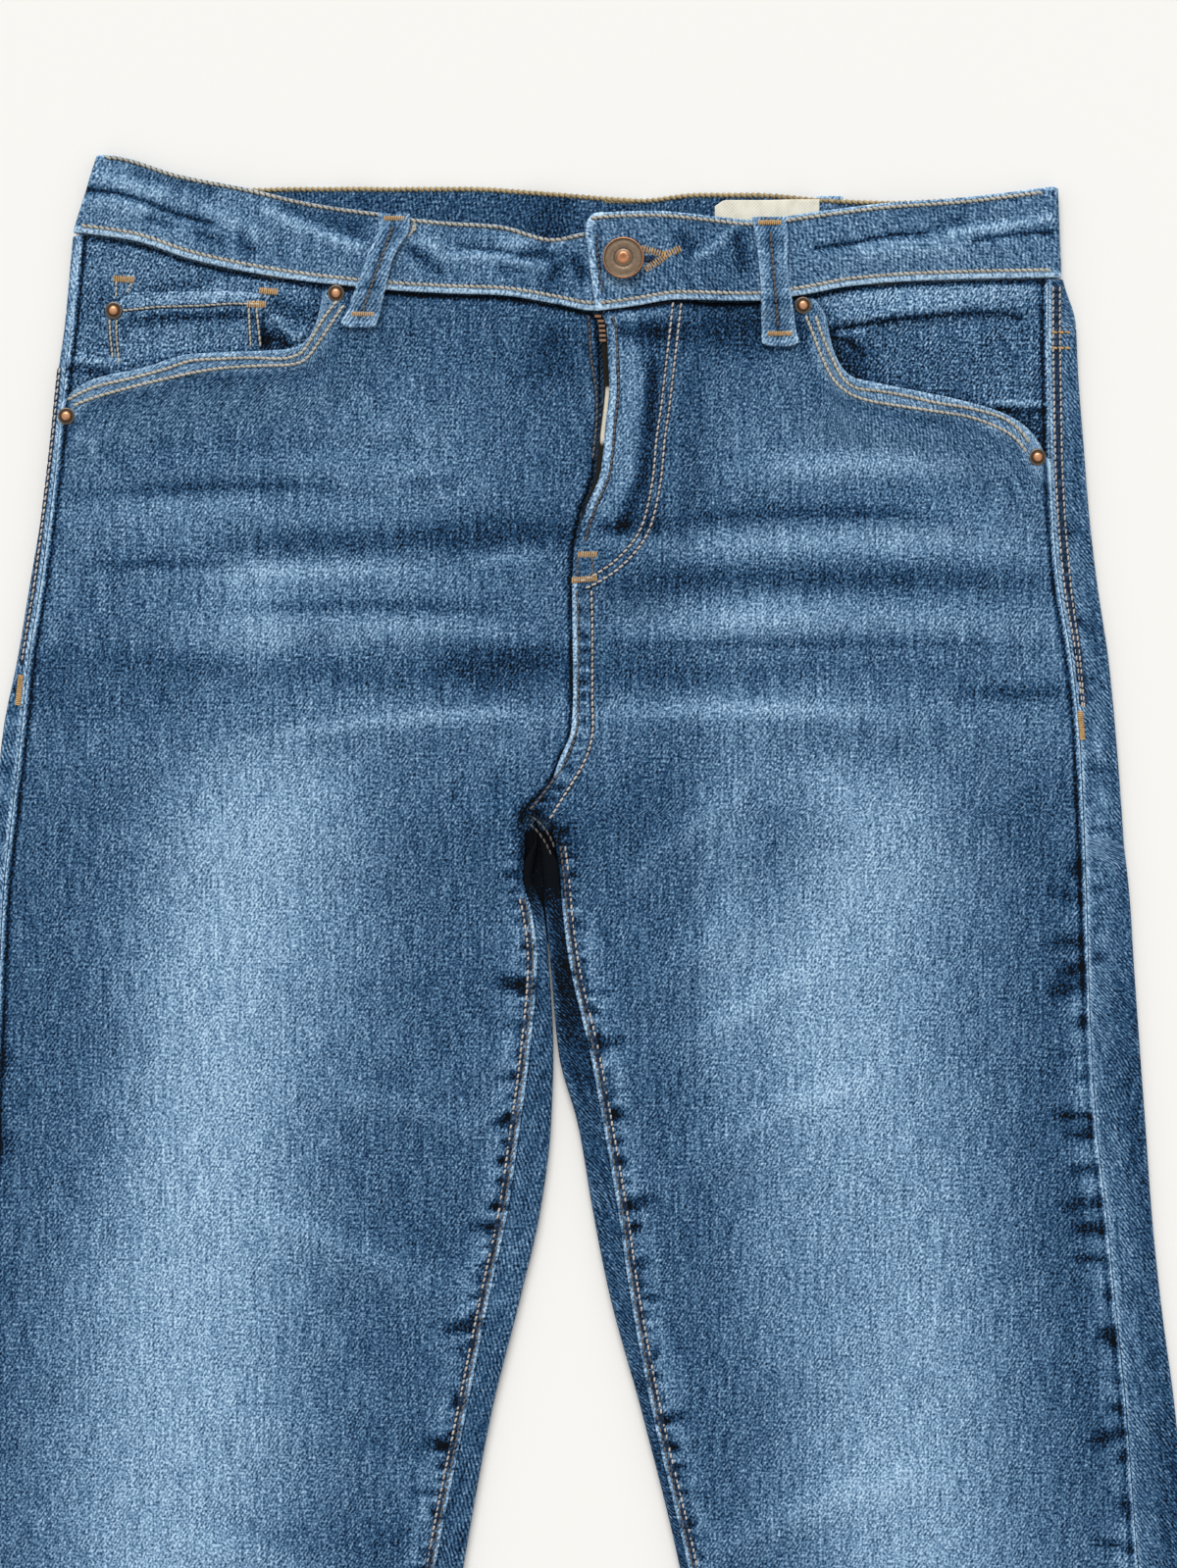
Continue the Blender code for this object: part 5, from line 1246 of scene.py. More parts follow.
# Whiskers and other washed or dark streaks, and painted shade under the waistband, by the fly and at
# the crotch, given as the ridges are, with the height a change of tone
STREAKS = (
    (-155, 113.5, 50, 2.4, -0.42, -2, 2), (-62, 112, 15, 2.6, -0.28), (-75, 135.5, 70, 6, -0.42, -2),
    (-112, 148.5, 46, 4.5, 0.4), (-28, 143, 16, 3.5, 0.32, -6), (-172, 145.5, 33, 2.2, -0.38, 0, 2),
    (-90, 163, 56, 2.8, -0.42, 0, 2), (-133, 168, 26, 14, 0.22, 90), (-50, 173, 44, 4, 0.22, 2, 3),
    (-118, 190, 108, 8, -0.3, 3), (-30, 186, 30, 7, -0.25, -6), (-75, 210.5, 62, 3.2, 0.38, -5, 3),
    (-160, 121, 40, 8, 0.16, -4), (-200, 98, 10, 2, 0.32, 40), (-193, 102, 10, 2, -0.32, 36),
    (-181, 97, 12, 2.2, 0.26, 30), (-176, 101, 12, 2.2, -0.26, 30), (-60, 90, 40, 18, 0.06),
    (116, 103, 44, 9, 0.36, 2, 2), (100, 124, 58, 3.6, -0.5, 0, 4), (110, 137, 72, 5.5, 0.34, 0, 3),
    (104, 152, 90, 6, -0.42, 0, 2), (105, 168, 74, 5, 0.2, 0, 2), (100, 178.5, 88, 2.4, -0.32, 0, 2),
    (58, 191, 48, 6, -0.25), (140, 190, 40, 7, -0.14), (70, 206, 60, 4, 0.38, 0, 2),
    (182, 199.5, 24, 3.4, -0.42), (72, 48, 26, 10, -0.5), (48, 92, 5, 40, -0.14), (24, 137, 14, 1.8, 0.36),
    (16, 130, 8, 3, -0.6), (30, 129, 5, 5, -0.5), (27, 42, 14, 2.4, 0.35), (30, 49, 14, 4.5, -0.6),
    (0, 245, 40, 22, -0.12), (-10, 222, 40, 22, 0.18), (-70, 112, 50, 22, 0.12), (-120, 176, 60, 16, 0.14),
    (52, 172, 50, 18, 0.2), (-10, 58, 13, 12, -0.3, 90), (-188, 168, 26, 14, -0.14, 4),
    (-226, 195, 16, 12, -0.24), (62, 300, 80, 14, 0.3, 90), (-94, 300, 60, 22, 0.18, 90),
    (120, 440, 60, 24, -0.14, 90), (-200, 370, 50, 20, -0.12, 90), (222, 480, 60, 16, -0.16, 90),
    (-28, 160, 26, 14, 0.14), (92, 231, 26, 16, 0.17), (171, 252, 24, 15, -0.15),
    (200, 350, 120, 14, -0.1, 90), (-190, 203, 34, 11, -0.18), (-115, 556, 50, 16, -0.16),
    (238, 510, 60, 12, -0.16, 90), (78, 436, 40, 16, 0.15, 90), (92, 60, 12, 8, 0.14),
)


def centre_front(drop):
    """x of the fly edge and the rise seam."""
    return smooth(CENTRE_FRONT, drop)


def panel_z(side, x, drop):
    """Middle of a front panel's cloth: lifted by the facing, the coin pocket and the fly behind it."""
    table = OPENING_RIGHT if side == "right" else OPENING_LEFT
    away = opening_distance(table, x, drop)
    near = 1 - ease((away - FACING_LIFT_MARGIN) / FACING_LIFT_RAMP)
    lift = STACK * near
    if side == "right":
        middle = (COIN_EDGES["outer"] + COIN_EDGES["inner"]) / 2
        half = (COIN_EDGES["inner"] - COIN_EDGES["outer"]) / 2
        beside = 1 - ease((np.abs(x - middle) - half - COIN_LIFT_MARGIN) / COIN_LIFT_SIDE_RAMP)
        above = 1 - ease((away - COIN_UNDERLAP - COIN_LIFT_MARGIN) / COIN_LIFT_FOOT_RAMP)
        lift = lift + COIN_STACK * beside * above
    else:
        past = x - centre_front(drop) - SHIELD_WIDTH - FLY_LIFT_MARGIN
        across = 1 - ease(past / FLY_LIFT_SIDE_RAMP)
        along = 1 - ease((drop - FLY_END_DROP) / FLY_LIFT_FOOT_RAMP)
        lift = lift + FLY_LIFT * across * along
    wave = np.where(near > 0, folds(FACING_FOLDS, x, drop) * near, 0.0)
    return top_z(x, drop) + lift + wave


def fly_gap(drop):
    """How far the right front stays back from the fly's free edge, which shows the zip."""
    return lerp(FLY_GAP, SEAM_GAP / 2, ease((drop - FLY_GAP_DROP) / (FLY_END_DROP - FLY_GAP_DROP)))


def front_inner(side, drop):
    """x of a front panel's inner edge: the fly or rise seam, then the inseam."""
    if side == "right":
        above = centre_front(drop) - fly_gap(drop)
    else:
        above = centre_front(drop) + SEAM_GAP / 2
    below = leg(side, "inseam", drop) + WAY[side] * SEAM_GAP / 2
    if side == "right":
        return np.where(drop <= CROTCH_DROP, above, below)
    return lerp(above, below, ease((drop - CROTCH_DROP) / (CROTCH_TURN_START - CROTCH_DROP)))


def fly_roll(side, x, drop):
    """1 on the rolled free edge of the fly, above its end, and 0 elsewhere."""
    away = x - centre_front(drop) - 1.6
    return (side == "left") * bell(away, 1.6) * ease((132 - drop) / 16)


def seam_ridge(side, x, drop):
    """1 on the crest of the felled seam at the front's inner edge: the left front's rise, both inseams."""
    away = np.abs(x - front_inner(side, drop)) - 0.9
    rise = ease((drop - 149) / 6) * ease((238 - drop) / 10) if side == "left" else 0.0
    return bell(away, 1.1) * (rise + ease((drop - 276) / 24))


def ladder(side, x, drop):
    """The puckers between the two rows of a felled seam: -1 to 1, uneven, about 6 mm apart, none outside."""
    away = np.abs(x - front_inner(side, drop))
    first = 150 if side == "left" else 258
    band = ease((away - 1.6) / 1.2) * ease((8.2 - away) / 1.6) * ease((drop - first) / 8)
    return 1.7 * band * np.sin(drop + 1.3 * np.sin(0.31 * drop) + 0.6 * np.sin(0.113 * drop + 0.5 * away))


def front_tone(side, x, drop):
    """Washing out of a front: a base, the patch down the leg and the streaks, some of them painted shade;
    raised creases paler from wear and sunk ones and the gathers darker as painted shade; along every sewn
    edge a pale worn line with painted shade in the groove beside it; and painted shade under the
    waistband, beside the fly and round the crotch."""
    middle, inward, outward, peak = (smooth(WASH[side], drop, column) for column in (1, 2, 3, 4))
    out = WAY[side] * (x - middle)
    half = np.where(out > 0, outward, inward)
    patch = np.exp(-np.abs(out / half) ** 2.4)
    hip = bell(drop - 150, 85, 4) * ease((np.abs(x - 0) - 30) / 40)
    base = 0.28 + 0.2 * hip + 0.06 * ease((drop - 600) / 200)
    tone = base + np.maximum(peak - base, 0) * patch + folds(STREAKS, x, drop)
    # Raised creases and folds paler from wear, sunk ones darker as painted shade
    tone += 0.5 * folds(CREASES, x, drop) + 0.08 * folds(FRONT_FOLDS, x, drop)
    tone += 0.75 * fly_roll(side, x, drop) + 0.85 * seam_ridge(side, x, drop) + 0.24 * ladder(side, x, drop)
    # Painted shadow in a line under the waistband
    tone -= 1.1 * bell(drop - band_foot_front(x) - 1.0, 1.2)
    # Left: a paler strip along the fly and painted shade in the groove beyond it. Right: painted shade along
    # its inner edge, beside the left front's raised fly and rise seam
    if side == "left":
        past = x - centre_front(drop)
        strip = ease((past - 1) / 2) * ease((15.5 - past) / 3) * ease((146 - drop) / 24)
        groove = bell(past - 18.5, 3) * ease((142 - drop) / 20) * ease((drop - 52) / 14)
        tone += 0.28 * strip - 0.55 * groove
    else:
        tone -= 0.9 * bell(front_inner(side, drop) - x, 1.4) * (drop < 254)
    # Painted shade round the crotch's hollow
    crotch = bell(np.abs(x - front_inner(side, drop)), 7 if side == "left" else 3)
    tone -= 0.55 * crotch * ease((drop - 232) / 12) * ease((292 - drop) / 30)
    # Painted shade in the gathers
    gather_shade = np.clip(seam_gathers(side, x, drop), 0, 1)
    inseam = np.abs(x - front_inner(side, drop))
    side_seam = np.abs(x - front_outer(side, drop))
    below = ease((drop - 276) / 30)
    depth = 0.9 if side == "left" else 1.3
    depth = np.where(side_seam < inseam, depth, 1.3)
    tone += 0.26 * below * bell(inseam - 9, 4.5) - depth * gather_shade
    if side == "left":
        tone += 0.34 * below * bell(side_seam - 5, 5)
    # The side seam's crest is paler from wear, with painted shade in the groove beside it
    beside = 0.9 - 0.6 * (side == "left") * ease((drop - 300) / 60)
    tone += 0.8 * bell(side_seam, 1.0) - beside * bell(side_seam - 2.4, 0.9)
    mouth = opening_distance(OPENINGS[side], x, drop)
    tone += 0.35 * bell(mouth, 1.6) + 0.26 * ease((9.6 - mouth) / 2.4)
    tone -= 0.14 * bell(mouth - 11.5, 2)
    hem = HEM_DROP - drop
    return tone + 0.3 * bell(hem, 1.4) - 0.16 * bell(hem - 12.5, 1.3)


def panel_top(side, x, drop):
    """Middle of a front panel's cloth, raised where the pocket mouth is turned in and along the fly."""
    turned_in = 1 - ease((opening_distance(OPENINGS[side], x, drop) - 8.2) / 1.2)
    sewn = 0.5 * fly_roll(side, x, drop) + 0.45 * seam_ridge(side, x, drop) + 0.14 * ladder(side, x, drop)
    return panel_z(side, x, drop) + 0.45 * turned_in + sewn


denim_front = denim("denim_washed_front", ribs=0.2, weave=1.25, weft=0.44, slub=0.5, mottle=0.26)
PANEL_COLUMNS = 68
for side in SIDES:
    starts = np.array(PANEL_TOP_RIGHT if side == "right" else PANEL_TOP_LEFT, float)
    mouth = OPENINGS[side]
    count = len(starts) + len(OPENING_RIGHT) - 1
    seam_part = np.concatenate([[0.0, 0.1, 0.28, 0.6], np.arange(1.3, 12.6, 0.95)]) / 215
    middle_part = np.linspace(seam_part[-1], 1 - seam_part[-1], PANEL_COLUMNS)[1:-1]
    at = count * np.concatenate([seam_part, middle_part, 1 - seam_part[::-1]]) ** (1 / COLUMN_CROWDING)
    waist_x = np.interp(at, np.arange(len(starts)), starts)
    mouth_at = (at - len(starts)) / (count - len(starts)) * (len(mouth) - 1)
    corner = np.clip(at - len(starts) + 1, 0, 1)
    mouth_x = np.interp(mouth_at, np.arange(len(mouth)), mouth[:, 0])
    mouth_drop = np.interp(mouth_at, np.arange(len(mouth)), mouth[:, 1])
    top_x = lerp(waist_x, mouth_x, corner)
    top_drop = lerp(band_foot_front(waist_x) + HEAD_GAP, mouth_drop, corner)
    top_x[0] = front_inner(side, top_drop[0])
    top_x[-1] = front_outer(side, top_drop[-1])
    first = front_inner(side, top_drop)
    last = front_outer(side, top_drop)
    top_share = (top_x - first) / (last - first)
    level_share = (at / count) ** COLUMN_CROWDING
    level = LEVEL_ROW[side]
    ruled = np.concatenate([[0.0, 0.0025, 0.007, 0.016], np.linspace(0.035, 1, 26)[:-1]])[:, None]
    lower = level_rows(level, 2.7)
    drop = np.concatenate([lerp(top_drop[None, :], level, ruled), np.repeat(lower[:, None], len(at), axis=1)])
    upper_share = lerp(top_share[None, :], level_share[None, :], ease(ruled))
    share = np.concatenate([upper_share, np.repeat(level_share[None, :], len(lower), axis=0)])
    x = lerp(front_inner(side, drop), front_outer(side, drop), share)
    shell(
        f"front_panel_{side}", x, drop, panel_top(side, x, drop), wall_at(drop), front_tone(side, x, drop),
        denim_front, WAY[side],
    )

# ---- Front seams ----
# The fronts' sewing: two tan rows along each pocket mouth, brown and orange rows down the inseams and the
# rise, and the fly's curved double row in tan, with zigzag bars where the strain comes.

MOUTH_ROWS = {
    "right": (
        (
            (-99.6, 36.7), (-105.3, 44.1), (-110.2, 52.2), (-114.7, 58.4), (-122.9, 60.8), (-133.9, 60.4),
            (-146.5, 60.8), (-160, 61.6), (-170.2, 64.9), (-183.7, 68.6), (-197.6, 71.8), (-205.7, 74.7),
            (-211.8, 78),
        ),
        (
            (-96.7, 38.4), (-101.2, 44.9), (-107.8, 54.7), (-113.1, 61.2), (-120.4, 63.3), (-131, 63.7),
            (-144.9, 64.5), (-156.7, 66.1), (-170.2, 69), (-182, 71.8), (-195.5, 75.5), (-205.7, 78.8),
            (-210.2, 80.8),
        ),
    ),
    "left": (
        (
            (99.2, 42.9), (102, 51), (106.1, 60.4), (110.6, 68.6), (115.9, 72.7), (124.9, 73.9),
            (136.7, 75.9), (149.4, 78.8), (164.1, 81.2), (176.7, 84.9), (184.1, 90.2), (188.6, 96.3),
        ),
        (
            (95.1, 42.9), (98.4, 51), (102.4, 61.2), (106.9, 69.4), (113.5, 75.1), (121.6, 78), (133.1, 80),
            (149.4, 82.4), (162.4, 84.5), (173.1, 88.2), (181.2, 92.7), (186.9, 99.2),
        ),
    ),
}
FLY_ROW = (
    (40, 37.1), (38.4, 51.8), (36.7, 66.5), (35.1, 80.4), (33.1, 94.3), (31.4, 111.8), (26.9, 130.6),
    (18.4, 142.4), (8.6, 149.8), (0, 153.9),
)
RISE_ROWS = (
    (
        (0, 156.7), (0.8, 172.2), (0.8, 186.1), (0.4, 200.8), (0, 214.7), (-5.7, 229.8), (-15.1, 242.9),
        (-19.6, 248.2),
    ),
    (
        (6.1, 156.7), (6.5, 172.2), (6.5, 186.1), (6.5, 202.9), (6.5, 216.7), (2.9, 228.6), (-5.7, 242.9),
        (-11.4, 252.2),
    ),
)
RIGHT_FLY_ROW = ((4.9, 42.4), (6.1, 60.8), (8.2, 74.7), (8.2, 87.3), (6.5, 103.7))
FLY_SPACING = 3.4


def beside(path, away):
    """The path moved sideways, to the left of its own direction."""
    path = np.asarray(path, float)
    step = np.gradient(path, axis=0)
    step /= np.hypot(step[:, :1], step[:, 1:])
    return path + away * pairs(step[:, 1], -step[:, 0])


def front_face(side):
    """The outer face of a front panel."""
    return lambda x, drop: panel_top(side, x, drop) + wall_at(drop) / 2 - 0.04


tan_rows = []
brown_rows = []
cream_rows = []
groove_shade = []
for side in SIDES:
    face = front_face(side)
    for path in MOUTH_ROWS[side]:
        tan_rows.append((curve(path, 60), face, 2.3, 2.3, 1.35))
        groove_shade.append((curve(path, 60), face, 1.6))
    seam_at = np.arange(263 if side == "left" else 285, 1008, 4.0)
    seam_x = leg(side, "inseam", seam_at)
    for away, rows, width in ((1.9, brown_rows, 1.0), (3.9, cream_rows, 1.0)):
        rows.append((pairs(seam_x + WAY[side] * away, seam_at), face, 2.7, 2.1, width))
    groove_shade.append((pairs(seam_x + WAY[side] * 2.9, seam_at), face, 3.7))
face = front_face("left")
fly_row = curve(FLY_ROW, 60)
for path in (fly_row, beside(fly_row, FLY_SPACING)):
    cream_rows.append((path, face, 2.7, 2.15, 0.95))
    groove_shade.append((path, face, 1.8))
for at in (0.4, 6.5):
    brown_rows.append((((at, 143), (at, 152.5)), face, 2.6, 2.2, 1.0))
for path in RISE_ROWS:
    (cream_rows if path is RISE_ROWS[1] else brown_rows).append((curve(path, 40), face, 2.7, 2.15, 1.0))
    groove_shade.append((curve(path, 40), face, 1.9))
edge_row = [(float(centre_front(at)) + 4.0, at) for at in np.arange(43, 142, 3.0)]
right_row = curve(RIGHT_FLY_ROW, 30)
for path, surface in ((edge_row, face), (right_row, front_face("right"))):
    brown_rows.append((path, surface, 2.6, 2.1, 1.0))
    groove_shade.append((path, surface, 2.0))
tack_rows = one_stitch(bar_tack((0.4, 142.0), (8.2, 142.0), face, width=2.8, pitch=0.9))
tack_rows += one_stitch(bar_tack((-2.2, 152.8), (8.5, 151.8), face, width=2.8, pitch=0.9))

# The seam that crosses inside the crotch's hollow, and the hems
CROSS_LEVEL = 4.9
CROSS_ROWS = (
    ((-20.8, 249.4), (-15.9, 253.1), (-11.4, 258.8), (-9, 264.5)),
    ((-19.6, 253.9), (-16.3, 257.1), (-13.1, 261.6), (-10.6, 266.9)),
)
HEM_ROW_DROP = 1001.6
cross_rows = [(curve(path, 20), level_line(CROSS_LEVEL), 2.7, 2.2, 0.9) for path in CROSS_ROWS]
hem_rows = []
for side in SIDES:
    first = front_inner(side, HEM_ROW_DROP) + WAY[side]
    last = front_outer(side, HEM_ROW_DROP) - WAY[side]
    path = [(x, HEM_ROW_DROP) for x in np.linspace(first, last, 20)]
    hem_rows.append((path, front_face(side), 3.2, 2.7, 0.75))
# Painted shade in the grooves under the fronts' rows
paint_groove_shade("front_groove_shade", groove_shade)
sew("front_bartacks", tack_rows, gold_thread)
sew("front_stitching_tan", tan_rows + hem_rows, tan_thread)
sew("front_stitching_brown", brown_rows + cross_rows, brown_thread)
sew("front_stitching_cream", cream_rows, cream_thread)

# ---- Fly shield and zip ----
# Behind the fly's free edge lie a denim shield and, on it, the cream tape of the closed zip with its
# copper teeth. Only a sliver of them shows; the teeth stop above the tape's lower end.

TAPE = 1.0
ZIP_LEVEL = 1.5
SHIELD_INSET = 1.2
SHIELD_HEAD_X = 20.0
SHIELD_FOOT = 144.0
SHIELD_TAPER = 0.35
SHIELD_TAPER_START = 110.0
ZIP_WIDTH = 12.0
ZIP_FOOT = 138.0
ZIP_HEAD_INSET = 1.5
ZIP_TEETH = (43.0, 54.0)
TOOTH_PITCH = 2.0
TOOTH_SIZE = (2.6, 1.0, 0.9)
TOOTH_AWAY = 1.7
TOOTH_RISE = 0.5
TOOTH_TONE = 0.66
SHIELD_HEAD = float(edge(BAND_FOOT_LEFT, np.array(SHIELD_HEAD_X))) + HEAD_GAP
down, across = share_grid(104, 1.8, 26, 1.6)
drop = lerp(SHIELD_HEAD, SHIELD_FOOT, down)
first = centre_front(drop) - fly_gap(drop) + SHIELD_INSET
taper = 1 - SHIELD_TAPER * ease((drop - SHIELD_TAPER_START) / (SHIELD_FOOT - SHIELD_TAPER_START))
x = first + SHIELD_WIDTH * taper * across
drop = np.maximum(drop, edge(BAND_FOOT_LEFT, x) + HEAD_GAP)
z = top_z(x, drop, 0.0)
shell("fly_shield", x, drop, z, DENIM, -0.1, denim_back)


def cotton(name, colour, weave):
    """Plain undyed cotton: its colour with a fine weave of so many threads to the metre and faint soiling,
    darkened to the near black of painted shade where tone falls below 0."""
    recipe = Recipe(name, 0.85)
    cloth = recipe.node("UVMap", uv_map="cloth")
    u = recipe.node("SeparateXYZ", {0: cloth}, out=0)
    v = recipe.node("SeparateXYZ", {0: cloth}, out=1)
    ribs = (u * (2 * math.pi * weave)).sine() * (v * (2 * math.pi * weave)).sine()
    soil = grain(recipe, cloth, 160.0, 110.0, 4.0, 3.0)
    tone = recipe.node("Attribute", out="Fac", attribute_name="tone")
    level = soil * 0.5 + ribs * 0.06 + 0.3 + tone
    dark = tuple(0.72 * part for part in colour)
    shade = tuple(0.02 * part for part in colour)
    pale = tuple(min(1.0, 1.12 * part) for part in colour)
    stops = ((0.1, shade), (0.35, dark), (0.55, colour), (0.8, pale))
    recipe.colours(stops, level)
    recipe.bump(ribs, 0.4, 0.0001)
    return recipe.material


CREAM = light_value(232, 224, 204)
tape_cotton = cotton("cream_tape", CREAM, 900.0)
down, across = share_grid(96, 1.8, 12, 1.2)
drop = lerp(SHIELD_HEAD + ZIP_HEAD_INSET, ZIP_FOOT, down)
x = centre_front(drop) - fly_gap(drop) + SHIELD_INSET + ZIP_WIDTH * across
drop = np.maximum(drop, edge(BAND_FOOT_LEFT, x) + HEAD_GAP)
# The tape is painted dark as the shade under the fly's edge, except for a short stretch where it lies in the
# light
lit = ease((drop - 71) / 2.5) * ease((99 - drop) / 6) * ease((x - centre_front(drop) + 2.2) / 1.2)
z = top_z(x, drop, 0.0) + ZIP_LEVEL
shell("zip_tape", x, drop, z, TAPE, 0.8 * lit - 0.8, tape_cotton)


METAL_TONES = (
    (0.0, (26, 20, 18)), (0.3, (84, 72, 60)), (0.6, (142, 122, 102)), (0.8, (184, 120, 80)),
    (1.0, (218, 164, 126)),
)


def metal(name, rough, metallic):
    """Antique copper plating: from dark bronze through grey brown to copper by tone, tarnished in patches."""
    recipe = Recipe(name, rough, metallic=metallic)
    at = recipe.node("TexCoord", out="Object")
    tone = recipe.node("Attribute", out="Fac", attribute_name="tone")
    tarnish = recipe.node("TexNoise", {"Vector": at, "Scale": 900.0, "Detail": 4.0, "Roughness": 0.7})
    stops = tuple((at, light_value(*colour)) for at, colour in METAL_TONES)
    recipe.colours(stops, tone + tarnish * 0.5 - 0.25)
    recipe.feed("Roughness", 1.15 * rough - tarnish * 0.3 * rough)
    recipe.bump(tarnish, 0.25, 0.0002)
    return recipe.material


antique_copper = metal("antique_copper", 0.4, 0.75)


def teeth(centres):
    """The zip's teeth: small copper blocks at the centres (x, drop, z), all in one mesh."""
    signs = [(a, b, c) for c in (-1, 1) for b in (-1, 1) for a in (-1, 1)]
    corner = np.array(signs) * np.array(TOOTH_SIZE) / 2
    faces = np.array([(0, 1, 3, 2), (4, 6, 7, 5), (0, 4, 5, 1), (2, 3, 7, 6), (0, 2, 6, 4), (1, 5, 7, 3)])
    at = (centres[:, None, :] + corner[None]).reshape(-1, 3)
    points = place(at[:, 0], at[:, 1], at[:, 2])
    whole = (faces[None] + 8 * np.arange(len(centres))[:, None, None]).reshape(-1, 4)
    piece = put_mesh("zip_teeth", points, outward(points, whole), antique_copper, smooth=False)
    set_tone(piece, np.full(len(points), TOOTH_TONE))
    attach(piece, "root")


at = np.arange(*ZIP_TEETH, TOOTH_PITCH)
tooth_x = centre_front(at) - TOOTH_AWAY
tooth_z = top_z(tooth_x, at, 0.0) + ZIP_LEVEL + TAPE / 2 + TOOTH_RISE
teeth(np.stack([tooth_x, at, tooth_z], axis=-1))

# ---- Waistband ----
# One strip of denim folded double, from the underlap behind the button round the back to the tab on the
# left front. It is sewn along both edges with one row and lies in soft ripples from wear.

BAND = 2.2
BAND_LAYERS = 1.7
TAB_LIFT = 2.5
TAB_LIFT_END = 50.0
TAB_LIFT_RAMP = 24.0
LABEL_LIFT = 1.4
LABEL_LIFT_HALF = 26.0
LABEL_LIFT_RAMP = 14.0
BAND_TOP_RIGHT = (
    (-200, -24.5), (-192, -24), (-166.5, -16.5), (-140, -11), (-106.5, -3.5), (-81.5, 0), (-65, 2.5),
    (-32, 5), (-10, 10.5), (3.5, 8), (48, 4),
)
BAND_TOP_LEFT = (
    (3, 2.5), (8, 0.4), (32, -0.5), (57.5, 1.5), (72.5, 3), (101, -0.5), (127, -4), (159, -6.5),
    (200.5, -11.5),
)
BAND_TOP_BACK = (
    (-200, -24.5), (-170, -14), (-140, -11), (-44, -11.5), (-10, -9), (27, -6.5), (50.5, -9), (74.5, -9),
    (101, -6.5), (127, -5.5), (160, -7), (200.5, -11.5),
)
BAND_FOLDS = (
    (-62, 10, 10, 5, 0.5, 70), (-50, 22, 12, 5, -0.3, 60), (-191, -9, 12, 5, 0.5, 40),
    (140, 14, 44, 5, 0.7, -8), (178, 4, 22, 4, -0.4, -4),
)
BAND_ENDS = {
    "right_side": (-200.0, -210.0),
    "left_side": (200.5, 202.0),
    "tab": (3.0, 8.0),
    "underlap": (46.0, 46.0),
}
LABEL_EDGES = {"left": 57.5, "right": 101.0, "top": -6.0, "foot": 11.0}
